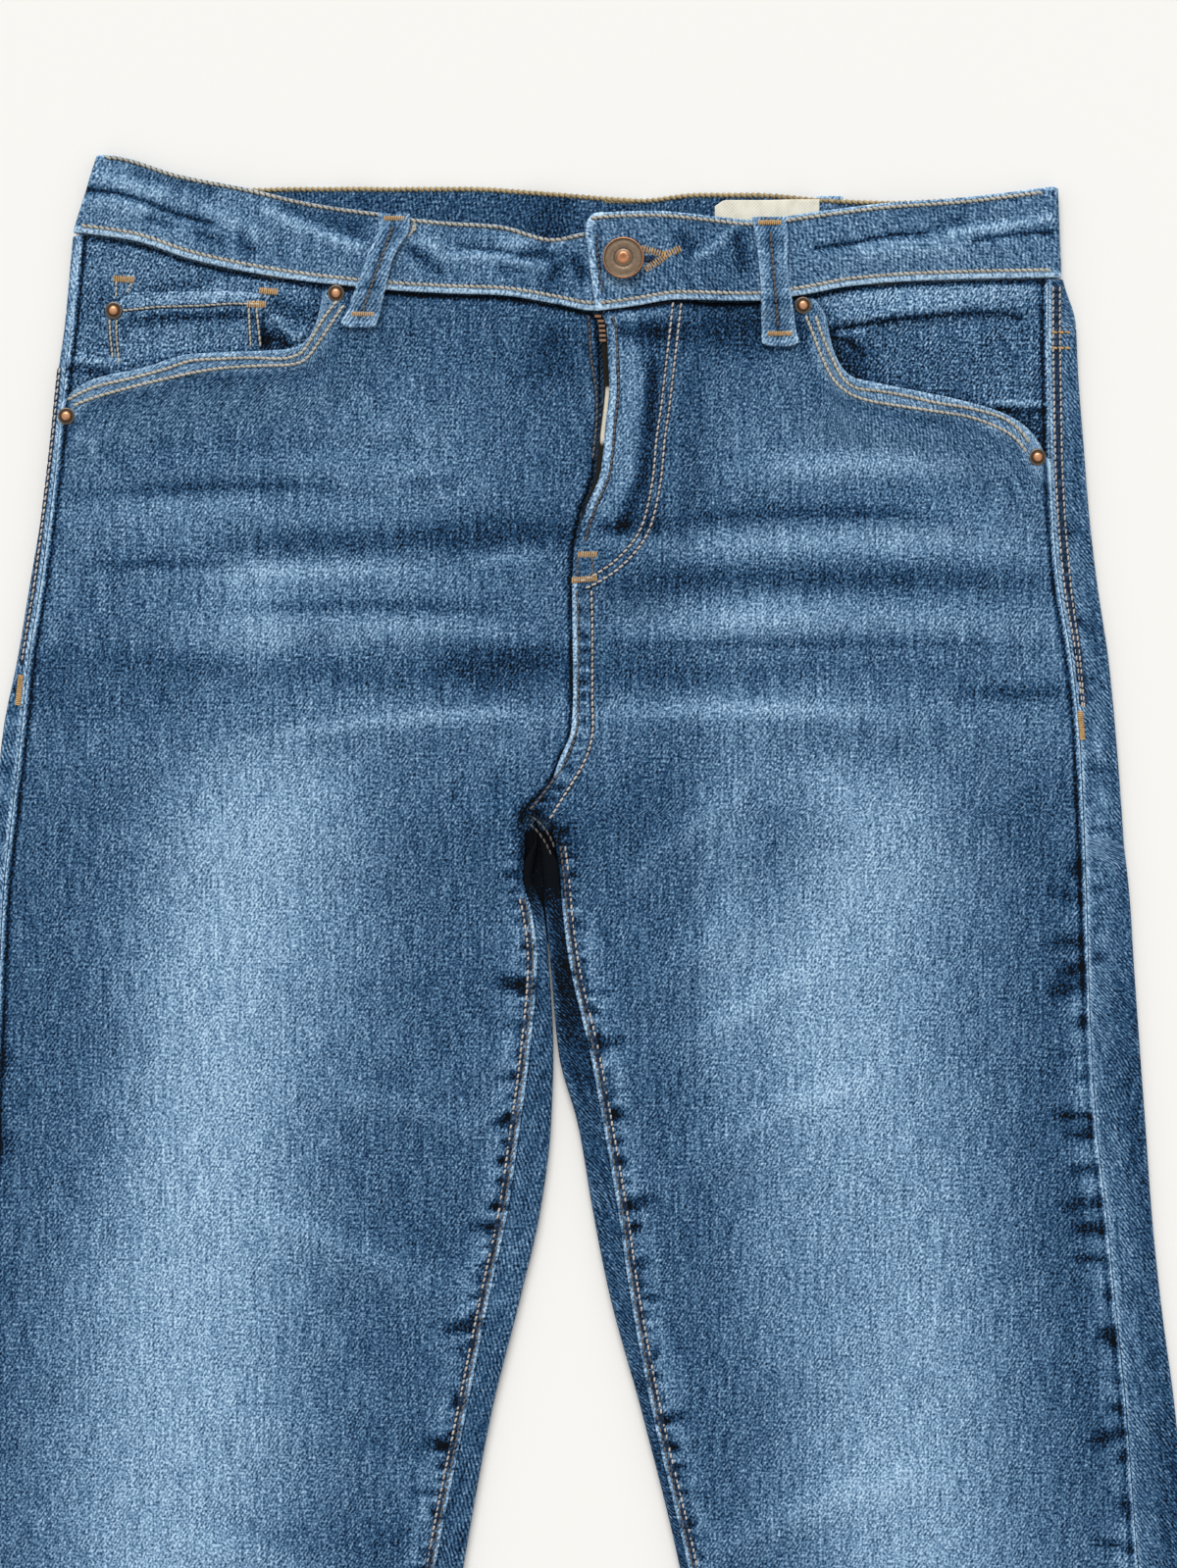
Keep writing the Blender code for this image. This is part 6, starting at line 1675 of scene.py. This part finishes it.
# Creases along a line, in the columns of the facings' lined creases; the change of tone is painted
# light on the ridges and painted shade in the creases
BAND_LINES = (
    (
        (
            (-203.7, -9.8), (-192.7, -9), (-185.7, -6.9), (-176.3, -4.1), (-168.2, -0.4), (-159.2, 2),
            (-151.8, 4.1),
        ),
        1.4, -0.95, -0.9,
    ),
    (((-201.2, -14.3), (-192.7, -13.5), (-183.7, -11), (-174.7, -7.8)), 2.6, 0.3, 0.5),
    (((-202.4, -4.9), (-191, -4.1), (-180.4, -0.8)), 2.4, 0.25, 0.3),
    (((-183.7, -16.7), (-170.6, -13.5), (-152.2, -9.4)), 2.6, -0.4, -0.3),
    (((-128.6, -1.2), (-119.6, 3.3), (-110.2, 6.9), (-101.2, 11), (-90.2, 13.9)), 2.4, 0.5, 0.6),
    (((-121.6, -2.4), (-111.4, 0.8), (-101.2, 4.9), (-89, 10.2)), 3.6, -0.36, -0.5),
    (((-99.2, 0), (-86.5, 3.3)), 3.4, -0.3, -0.2), (((-178.8, 1.6), (-169.8, 4.9)), 2.0, -0.5, -0.4),
    (((-157.6, 8.2), (-148.6, 11.4)), 2.0, -0.45, -0.4),
    (((-139.6, 8.2), (-138, 13.9), (-133.9, 15.9)), 2.4, -0.42, -0.4),
    (((-153.5, -0.8), (-142, 4.1), (-133.1, 9)), 3.4, 0.3, 0.3),
    (((-69.4, 14.7), (-64.5, 18.4), (-60.4, 21.2), (-57.6, 24.1)), 2.6, -0.55, -0.5),
    (((-68.6, 11.8), (-58.4, 13.1)), 2.0, 0.35, 0.3),
    (((-55.1, 18), (-44.9, 18), (-34.7, 18.4), (-24.5, 20.4), (-14.3, 22.4)), 2.0, 0.4, 0.5),
    (((-48.2, 13.5), (-40, 14.7), (-30.6, 15.9), (-22.4, 18)), 1.1, -0.6, -0.6),
    (((-28.6, 12.2), (-18.8, 12.2)), 3.0, 0.36, 0.4), (((-30.6, 22.4), (-24.9, 23.3)), 2.4, -0.36, -0.3),
    (((-20.8, 17.1), (-11.4, 17.1)), 2.2, -0.45, -0.3), (((-10.2, 26.9), (-7.3, 22.4)), 2.2, -0.5, -0.3),
    (((-9.4, 14.3), (-4.5, 11.8)), 1.4, 0.45, 0.4), (((-0.4, 19.6), (2.4, 25.3)), 3.0, -0.6, -0.3),
    (((44.1, 10.2), (47.8, 15.5)), 3.0, -0.5, -0.4),
    (((49.4, 18), (57.1, 14.3), (61.6, 9.4), (66.9, 6.1)), 1.7, 0.45, 0.5),
    (((66.9, 9), (69.4, 22)), 3.4, -0.5, -0.4), (((9, 27.8), (21.2, 32.2)), 2.8, 0.25, 0.0),
    (
        ((98.8, 15.1), (106.9, 13.9), (115.1, 12.7), (123.3, 10.6), (131.4, 9.4), (138, 9), (145.3, 8.6)),
        1.1, -0.95, -0.9,
    ),
    (((148.6, 6.5), (159.2, 2.9)), 2.6, -0.4, -0.3), (((135.5, -2), (168.2, -5.3)), 4.0, -0.2, 0.0),
    (((155.1, 8.6), (164.1, 6.9), (172.2, 6.1), (180.4, 4.9), (188.6, 3.3), (196.7, 1.6)), 1.8, 0.5, 0.6),
    (((165.7, 11), (172.2, 10.2), (180.4, 8.6), (188.6, 7.8), (197.6, 8.2)), 1.1, -0.8, -0.7),
    (((119.2, 16.3), (139.6, 14.7), (160, 15.5)), 3.6, 0.25, 0.3),
)
# The tab's rolled edge, in the same columns: painted highlights on the roll's ridges and painted shade
# between them
TAB_LINES = (
    (
        (
            (9.8, 1.2), (6.5, 2.4), (4.9, 4.9), (4.9, 11.4), (6.1, 19.6), (6.5, 28.6), (8.2, 35.9),
            (9.8, 40.8),
        ),
        1.0, 0.75, 0.5,
    ),
    (((5.7, 7.3), (5.3, 13.1), (6.5, 21.2), (7.3, 29.4), (9, 35.9)), 0.35, -0.5, -0.2),
    (((6.5, 3.3), (6.5, 7.3), (6.5, 13.9), (7.8, 21.2), (8.6, 29.4), (10.2, 36.7)), 0.7, 0.45, 0.3),
    (((8.6, 9), (8.6, 18), (9.8, 26.9), (11.4, 34.3)), 0.8, -0.8, -0.3),
)


def band_lift(x):
    """How far the left front's waistband rides over the underlap and the label."""
    middle = (LABEL_EDGES["left"] + LABEL_EDGES["right"]) / 2
    tab = TAB_LIFT * (1 - ease((x - TAB_LIFT_END) / TAB_LIFT_RAMP))
    label = LABEL_LIFT * (1 - ease((np.abs(x - middle) - LABEL_LIFT_HALF) / LABEL_LIFT_RAMP))
    return np.maximum(tab, label)


def band_back_z(x, drop):
    """Middle of the back waistband."""
    return BAND / 2 + under(x, drop)


def band_front_z(side, x, drop):
    """Middle of the front waistband: over the fold height at the sides, lower between, with its ripples
    and a groove along the row of stitches by each edge."""
    fold = DENIM / 2 + FOLD_HEIGHT / 2
    away_right = np.abs(x - leg("right", "outer", drop) - fold)
    away = np.minimum(away_right, np.abs(x - leg("left", "outer", drop) + fold))
    flat = BAND + BAND_LAYERS
    base = flat + (FOLD_HEIGHT - flat) * bell(away, FOLD_SPREAD)
    lift = band_lift(x) if side == "left" else 0.0
    top = edge(BAND_TOP_RIGHT, x) if side == "right" else edge(BAND_TOP_LEFT, x)
    foot = edge(BAND_FOOT_RIGHT, x) if side == "right" else edge(BAND_FOOT_LEFT, x)
    groove_shade = bell(drop - top - 2.6, 1.0) + bell(foot - drop - 3.4, 1.0)
    ripples = lined(BAND_LINES, x, drop, 3)
    if side == "left":
        ripples = ripples + lined(TAB_LINES, x, drop, 3) * (x < 20)
    waves = folds(BAND_FOLDS, x, drop) + ripples
    return BAND / 2 + under(x, drop, BRIDGE) + base + lift + waves - 0.22 * groove_shade


def band_stretch(top, foot, ends, shares, down, height):
    """Grid of a waistband stretch between two across lines, each given by its x at top and foot."""
    (top_a, foot_a), (top_b, foot_b) = ends
    head_x = lerp(top_a, top_b, shares)[None, :]
    foot_x = lerp(foot_a, foot_b, shares)[None, :]
    x = lerp(head_x, foot_x, down)
    drop = lerp(edge(top, head_x), edge(foot, foot_x), down)
    return x, drop, height(x, drop)


BAND_ARC_COUNT = 13


def band_fold(tangent, out, side, top, foot, down, order):
    """The waistband round a side: a half circle between its front and back, its ends left out."""
    turn = np.linspace(0, math.pi, BAND_ARC_COUNT)[1:-1][None, ::order]
    x_line = lerp(tangent[0], tangent[1], down)
    drop = lerp(edge(top, np.array(tangent[0])), edge(foot, np.array(tangent[1])), down)
    high = band_front_z(side, x_line, drop)
    low = band_back_z(x_line, drop)
    x = x_line + out * FOLD_HEIGHT / 2 * np.sin(turn)
    z = (high + low) / 2 + (high - low) / 2 * np.cos(turn)
    return x, drop + 0.0 * turn, z


def band_tone(part, x, drop, top, foot, inside):
    """Washing out of the waistband: pale along both edges, with painted light and shade on its
    ripples and along the tab's rolled edge.
    """
    high = drop - top
    low = foot - drop
    tone = 0.5 + 0.6 * bell(high, 1.3) + 0.8 * bell(low, 2.1, 4)
    tone += (1 - inside) * (lined(BAND_LINES, x, drop, 2) + 0.12 * folds(BAND_FOLDS, x, drop))
    if part == "left":
        tone += lined(TAB_LINES, x, drop, 2) * (x < 20) - 0.2 * bell(x - 56, 26)
    tone = tone - 0.25 * bell(x + 12, 10) + 0.15 * bell(x + 178, 16)
    loop_top = bell(x - 105.5, 4.6, 6) * bell(high - 1.5, 2.6, 4)
    return tone + inside * (0.5 * loop_top - 0.32)


band_down = shares(36, 1.6)[:, None]
inset = BAND / 2 + FOLD_HEIGHT / 2
right_tangent = tuple(value + inset for value in BAND_ENDS["right_side"])
left_tangent = tuple(value - inset for value in BAND_ENDS["left_side"])
front_shares = shares(215, 1.9)
edge_pairs = {
    "right": (BAND_TOP_RIGHT, BAND_FOOT_RIGHT),
    "back": (BAND_TOP_BACK, BAND_FOOT_BACK),
    "left": (BAND_TOP_LEFT, BAND_FOOT_LEFT),
}
parts = [
    ("right", 0.0)
    + band_stretch(
        *edge_pairs["right"], (BAND_ENDS["underlap"], right_tangent), front_shares[:-1], band_down,
        lambda x, drop: band_front_z("right", x, drop),
    ),
    ("right", 0.0) + band_fold(right_tangent, -1.0, "right", *edge_pairs["right"], band_down, 1),
    ("back", 1.0)
    + band_stretch(
        *edge_pairs["back"], (right_tangent, left_tangent), np.linspace(0, 1, 150), band_down, band_back_z
    ),
    ("left", 0.0) + band_fold(left_tangent, 1.0, "left", *edge_pairs["left"], band_down, -1),
    ("left", 0.0)
    + band_stretch(
        *edge_pairs["left"], (left_tangent, BAND_ENDS["tab"]), front_shares[1:], band_down,
        lambda x, drop: band_front_z("left", x, drop),
    ),
]
tab = list(parts[-1])
tab[3] = tab[3] + 2.6 * bell(tab[2] - BAND_ENDS["tab"][0], 2.0) * (1 - band_down) ** 3
parts[-1] = tuple(tab)
tone = np.hstack(
    [
        band_tone(part, x, drop, edge(edge_pairs[part][0], x), edge(edge_pairs[part][1], x), inside)
        for part, inside, x, drop, z in parts
    ]
)
x, drop, z = (np.hstack([part[k] for part in parts]) for k in (2, 3, 4))
denim_band = denim("denim_waistband", ribs=0.22, weave=1.2, slub=0.5)
shell("waistband", x, drop, z, BAND, tone, denim_band, heading=-1.0)

BAND_ROW_PITCH = 2.45
# The rows along the band's top (0) and foot (1): where each begins, ends and how far below the edge it runs.
BAND_ROWS = (
    ("right", 0, -196.0, 44.0, 1.0), ("right", 1, -206.0, 44.0, -3.0),
    ("left", 0, 6.0, 197.0, 1.9), ("left", 1, 9.5, 198.0, -3.0),
)


def band_face(side):
    """The outer face of the front waistband."""
    return lambda x, drop: band_front_z(side, x, drop) + BAND / 2 - 0.04


back_band_inside = lifted(band_back_z, BAND / 2 - 0.04)
back_band_outside = lifted(under, 0.15)
band_rows = []
groove_shade = []
for side, part, first, last, shift in BAND_ROWS:
    at = np.arange(first, last, 4.0)
    path = pairs(at, edge(edge_pairs[side][part], at) + shift)
    band_rows.append((path, band_face(side), BAND_ROW_PITCH, 2.4, 1.5))
    groove_shade.append((path, band_face(side), 1.9))
tab_rows = [(TAB_LINES[-1][0], band_face("left"), BAND_ROW_PITCH, 1.9, 0.9)]
at = np.arange(-190, 195, 4.0)
back_rows = []
for line, face in (
    (edge(BAND_TOP_BACK, at) + 0.8, back_band_inside),
    (edge(BAND_TOP_BACK, at) + 2.6, back_band_outside),
    (edge(BAND_FOOT_BACK, at) - 3.4, back_band_outside),
):
    back_rows.append((pairs(at, line), face, BAND_ROW_PITCH, 2.7, 1.9))
# Painted shade in the grooves under the waistband's rows
paint_groove_shade("waistband_groove_shade", groove_shade)
back_rows += one_stitch(bar_tack((11.8, -5.7), (22.9, -5.4), back_band_inside, width=2.2))
sew("waistband_stitching", band_rows, tan_thread, slant=0.5)
sew("waistband_stitching_brown", tab_rows, brown_thread)
sew("waistband_stitching_back", back_rows, rope_thread, slant=0.6)

# The buttonhole: an eye of close zigzag round the button's shank, its two legs running to the tail
hole_rows = []
hole_spots = ((26.5, 15.1), (37.1, 18), (28.2, 24.1), (37.6, 18), (36.3, 18), (43.3, 15.1))
for first, last in zip(hole_spots[::2], hole_spots[1::2]):
    hole_rows += one_stitch(bar_tack(first, last, band_face("left"), width=3.2, pitch=1.1))
sew("buttonhole", hole_rows, gold_thread, slant=0.0)
# Painted shade in the buttonhole's slit
paint_groove_shade("buttonhole_gap_shade", [(((27.3, 19.6), (31.8, 19.2), (34.3, 18.8)), band_face("left"), 3.4)])

# ---- Size label ----
# A bare cream cotton label sewn inside the back waistband, under the left front's top edge.

label_cotton = cotton("cream_label", light_value(236, 232, 216), 700.0)
down, across = share_grid(17, 1.2, 43, 1.5)
x = lerp(LABEL_EDGES["left"], LABEL_EDGES["right"], across)
top = LABEL_EDGES["top"] + np.maximum(0, 2.6 - 0.7 * (x - LABEL_EDGES["left"]))
drop = lerp(top, LABEL_EDGES["foot"], down)
z = band_back_z(x, drop) + BAND / 2 + SEAM_GAP + TAPE / 2
shell("size_label", x, drop, z, TAPE, 0.0, label_cotton)

# ---- Front belt loops ----
# Two straps of folded denim across the front waistband, bulging a little over it. Two rows of brown cover
# stitch run down each, and zigzag bars hold both ends.

# Name, x of both head corners, drop of the head, x of both foot corners, drop of the foot
FRONT_LOOPS = (
    ("belt_loop_front_right", (-82.5, -69.5), 0.6, (-96.5, -83), 45.5),
    ("belt_loop_front_left", (72.5, 86.5), 2.2, (77.5, 91.5), 54),
)
LOOP_BULGE = 0.9
LOOP_LEAVES = (2.0, 8.0)


def loop_z(side, x, drop, down):
    """Middle of a front loop: clear of the waistband and of the panel below it, with a bulge between its
    ends, thicker along both turned edges."""
    foot = band_foot_front(x)
    over_band = band_front_z(side, x, np.minimum(drop, foot)) + BAND / 2
    over_panel = panel_z(side, x, np.maximum(drop, foot)) + DENIM / 2
    leave = ease((drop - foot - LOOP_LEAVES[0]) / (LOOP_LEAVES[1] - LOOP_LEAVES[0]))
    surface = lerp(np.maximum(over_band, over_panel), over_panel, leave)
    return surface + HEAD_GAP + LOOP_STRAP / 2 + LOOP_BULGE * np.sin(math.pi * np.clip(down, 0, 1)) ** 2


def loop_top(side, head, foot):
    """The outer face of a front loop."""
    return lambda x, drop: loop_z(side, x, drop, (drop - head) / (foot - head)) + LOOP_STRAP / 2 - 0.1


denim_loop = denim("denim_loops")
loop_rows = []
tack_rows = []
for name, head_x, head, foot_x, foot in FRONT_LOOPS:
    side = name.rsplit("_", 1)[1]
    longer, bent = (1.055, 2.2) if side == "right" else (1.03, 0.6)

    def loop_place(down, across):
        """x and drop on the loop, which leans and bends a little below its head."""
        x = lerp(lerp(*head_x, across), lerp(*foot_x, across), down) + bent * bell(down - 0.17, 0.13)
        return x, lerp(head, foot, down)

    down, across = share_grid(54, 1.1, 13, 0.8)
    down = longer * down
    waist = 1 - 0.16 * np.sin(math.pi * np.clip(down / 0.9, 0, 1)) ** 2 + 0.08 * ease((down - 0.88) / 0.1)
    x, drop = loop_place(down, 0.5 + waist * (across - 0.5))
    drop = drop - 1.6 * ease((down - 0.94) / 0.06) * (2 * across - 1) ** 4
    seat = bell(across - 0.47, 0.1) + 0.6 * bell(down - 0.885, 0.025)
    wave = np.sin(0.8 * drop) + np.sin(1.9 * drop + 2.0 * across)
    z = loop_z(side, x, drop, down) - 0.5 * seat + 0.1 * wave * (1 - seat)
    rim = np.minimum(across, 1 - across) * 13
    # The turned edges and the foot are paler; the sunk middle and two bands across are painted darker as
    # shade
    tone = 0.6 + 0.35 * bell(rim, 1.5) - 0.4 * seat + 0.05 * wave + 0.3 * bell(1 - down, 0.06)
    tone -= 0.3 * (bell(down - 0.2, 0.05) + bell(down - 0.68, 0.04)) * ease(rim / 3)
    shell(name, x, drop, z, LOOP_STRAP, tone, denim_loop)
    face = loop_top(side, head, foot)
    loop_rows.append(([loop_place(0.12, 0.47), loop_place(0.9, 0.47)], face, 2.3, 1.95, 1.1))
    for end, inner in ((0.045, 0.16), (0.93, 0.14)):
        tack = bar_tack(loop_place(end, inner), loop_place(end, 1 - inner), face, width=2.2, pitch=0.8)
        tack_rows += one_stitch(tack)
sew("front_loop_stitching", loop_rows, brown_thread)
sew("front_loop_bartacks", tack_rows, gold_thread)
FRAYED_ENDS = (
    ((-70.6, 9.8), (-69, 9), (-67.8, 6.5), (-67.8, 4.1)),
    ((-69, 2.9), (-67.3, 3.7), (-66.9, 6.1), (-68.2, 8.6)),
    ((-70.2, 6.9), (-69, 4.9)),
)


def frayed_level(x, drop):
    """Where the frayed ends beside the right loop lie."""
    return band_front_z("right", x, np.minimum(drop, band_foot_front(x))) + 1.0


frayed_rows = [(path, frayed_level, 1.5, 1.9, 1.1) for path in FRAYED_ENDS]
sew("front_loop_frayed_ends", frayed_rows, tan_thread)

# ---- Rivets ----
# Five copper rivets at the corners of the hand pockets and the coin pocket: a flat flange with a raised
# head pressed through the cloth.

# Name, x, drop, and what it goes through
RIVETS = (
    ("rivet_pocket_right_top", -100, 33.5, "panel"), ("rivet_pocket_right_side", -212, 84.5, "panel"),
    ("rivet_coin_pocket", -192.5, 40.5, "coin"), ("rivet_pocket_left_top", 94, 38.5, "panel"),
    ("rivet_pocket_left_side", 191.5, 101.5, "panel"),
)
RIVET_PLATE = 3.2


def turned(name, outline, count, at, tilt):
    """A round copper piece: an outline of radius, height and tone turned about its axis, then tilted
    about y and placed."""
    turn = np.linspace(0, 2 * math.pi, count, endpoint=False)
    radius = np.array(outline, float)[:, 0][:, None]
    height = np.array(outline, float)[:, 1][:, None] + 0 * turn
    x = radius * np.cos(turn)
    y = radius * np.sin(turn)
    lean = math.radians(tilt)
    x, height = x * math.cos(lean) - height * math.sin(lean), x * math.sin(lean) + height * math.cos(lean)
    points = place(at[0] + x, at[1] - y, at[2] + height).reshape(-1, 3)
    ring = np.arange(len(outline) - 1)[:, None] * count
    step = np.arange(count)
    after = (step + 1) % count
    faces = np.stack([ring + step, ring + after, ring + count + after, ring + count + step], axis=-1)
    faces = faces.reshape(-1, 4)
    piece = put_mesh(name + "_metal", points, outward(points, faces), antique_copper)
    set_tone(piece, np.repeat(np.array(outline, float)[:, 2], count))
    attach(piece, "root")
    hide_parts(name)


def highest(surface, x, drop, radius):
    """The surface's highest point under a round foot."""
    turn = np.linspace(0, 2 * math.pi, 12, endpoint=False)
    return float(np.max(surface(x + radius * np.cos(turn), drop + radius * np.sin(turn))))


rivet_outline = (
    (0, 0, 0.2), (3.3, 0, 0.2), (3.5, 0.12, 0.3), (3.5, 0.32, 0.5), (3.3, 0.5, 0.55), (3.0, 0.5, 0.3),
    (2.3, 0.42, 0.2), (2.1, 0.45, 0.15), (2.0, 0.9, 0.6), (1.8, 1.3, 0.85), (1.35, 1.6, 0.95),
    (0.8, 1.72, 1.0), (0.3, 1.72, 1.0), (0, 1.72, 1.0),
)
for name, x, drop, on in RIVETS:
    if on == "coin":
        foot = highest(facing_z, x, drop, RIVET_PLATE) + COIN_STACK
    else:
        side = "right" if x < 0 else "left"
        foot = highest(lambda at_x, at_drop: panel_z(side, at_x, at_drop), x, drop, RIVET_PLATE)
    turned(name, rivet_outline, 40, (x, drop, foot + DENIM / 2 + 0.15), 0.0)

# ---- Waist button ----
# An antique copper tack button with a rolled rim, a plain grey-brown sunk ring and a small copper cap.

BUTTON_PLACE = (19.5, 19.5)
BUTTON_SEAT = 0.65
BUTTON_TILT = 4.0
button_outline = (
    (0, 0, 0.2), (3.3, 0, 0.2), (3.4, 1.1, 0.2), (7.4, 1.25, 0.3), (8.3, 1.6, 0.5), (8.6, 2.2, 0.75),
    (8.6, 2.8, 0.85), (8.4, 3.3, 0.9), (8.15, 3.5, 0.85), (7.9, 3.4, 0.5), (7.75, 3.1, 0.25),
    (7.5, 3.0, 0.45), (6.6, 3.1, 0.56), (5.6, 3.15, 0.52), (4.6, 3.1, 0.56), (4.0, 3.0, 0.45),
    (3.75, 2.9, 0.25), (3.55, 3.0, 0.5), (3.25, 3.3, 0.66), (2.9, 3.35, 0.45), (2.6, 3.3, 0.55),
    (2.4, 3.55, 0.85), (2.0, 3.75, 0.9), (1.3, 3.7, 0.82), (0.7, 3.6, 0.7), (0, 3.6, 0.7),
)
x, drop = BUTTON_PLACE
seat = float(band_front_z("left", np.array(x), np.array(drop)) + BAND / 2)
turned("button", button_outline, 64, (x, drop, seat + BUTTON_SEAT), BUTTON_TILT)
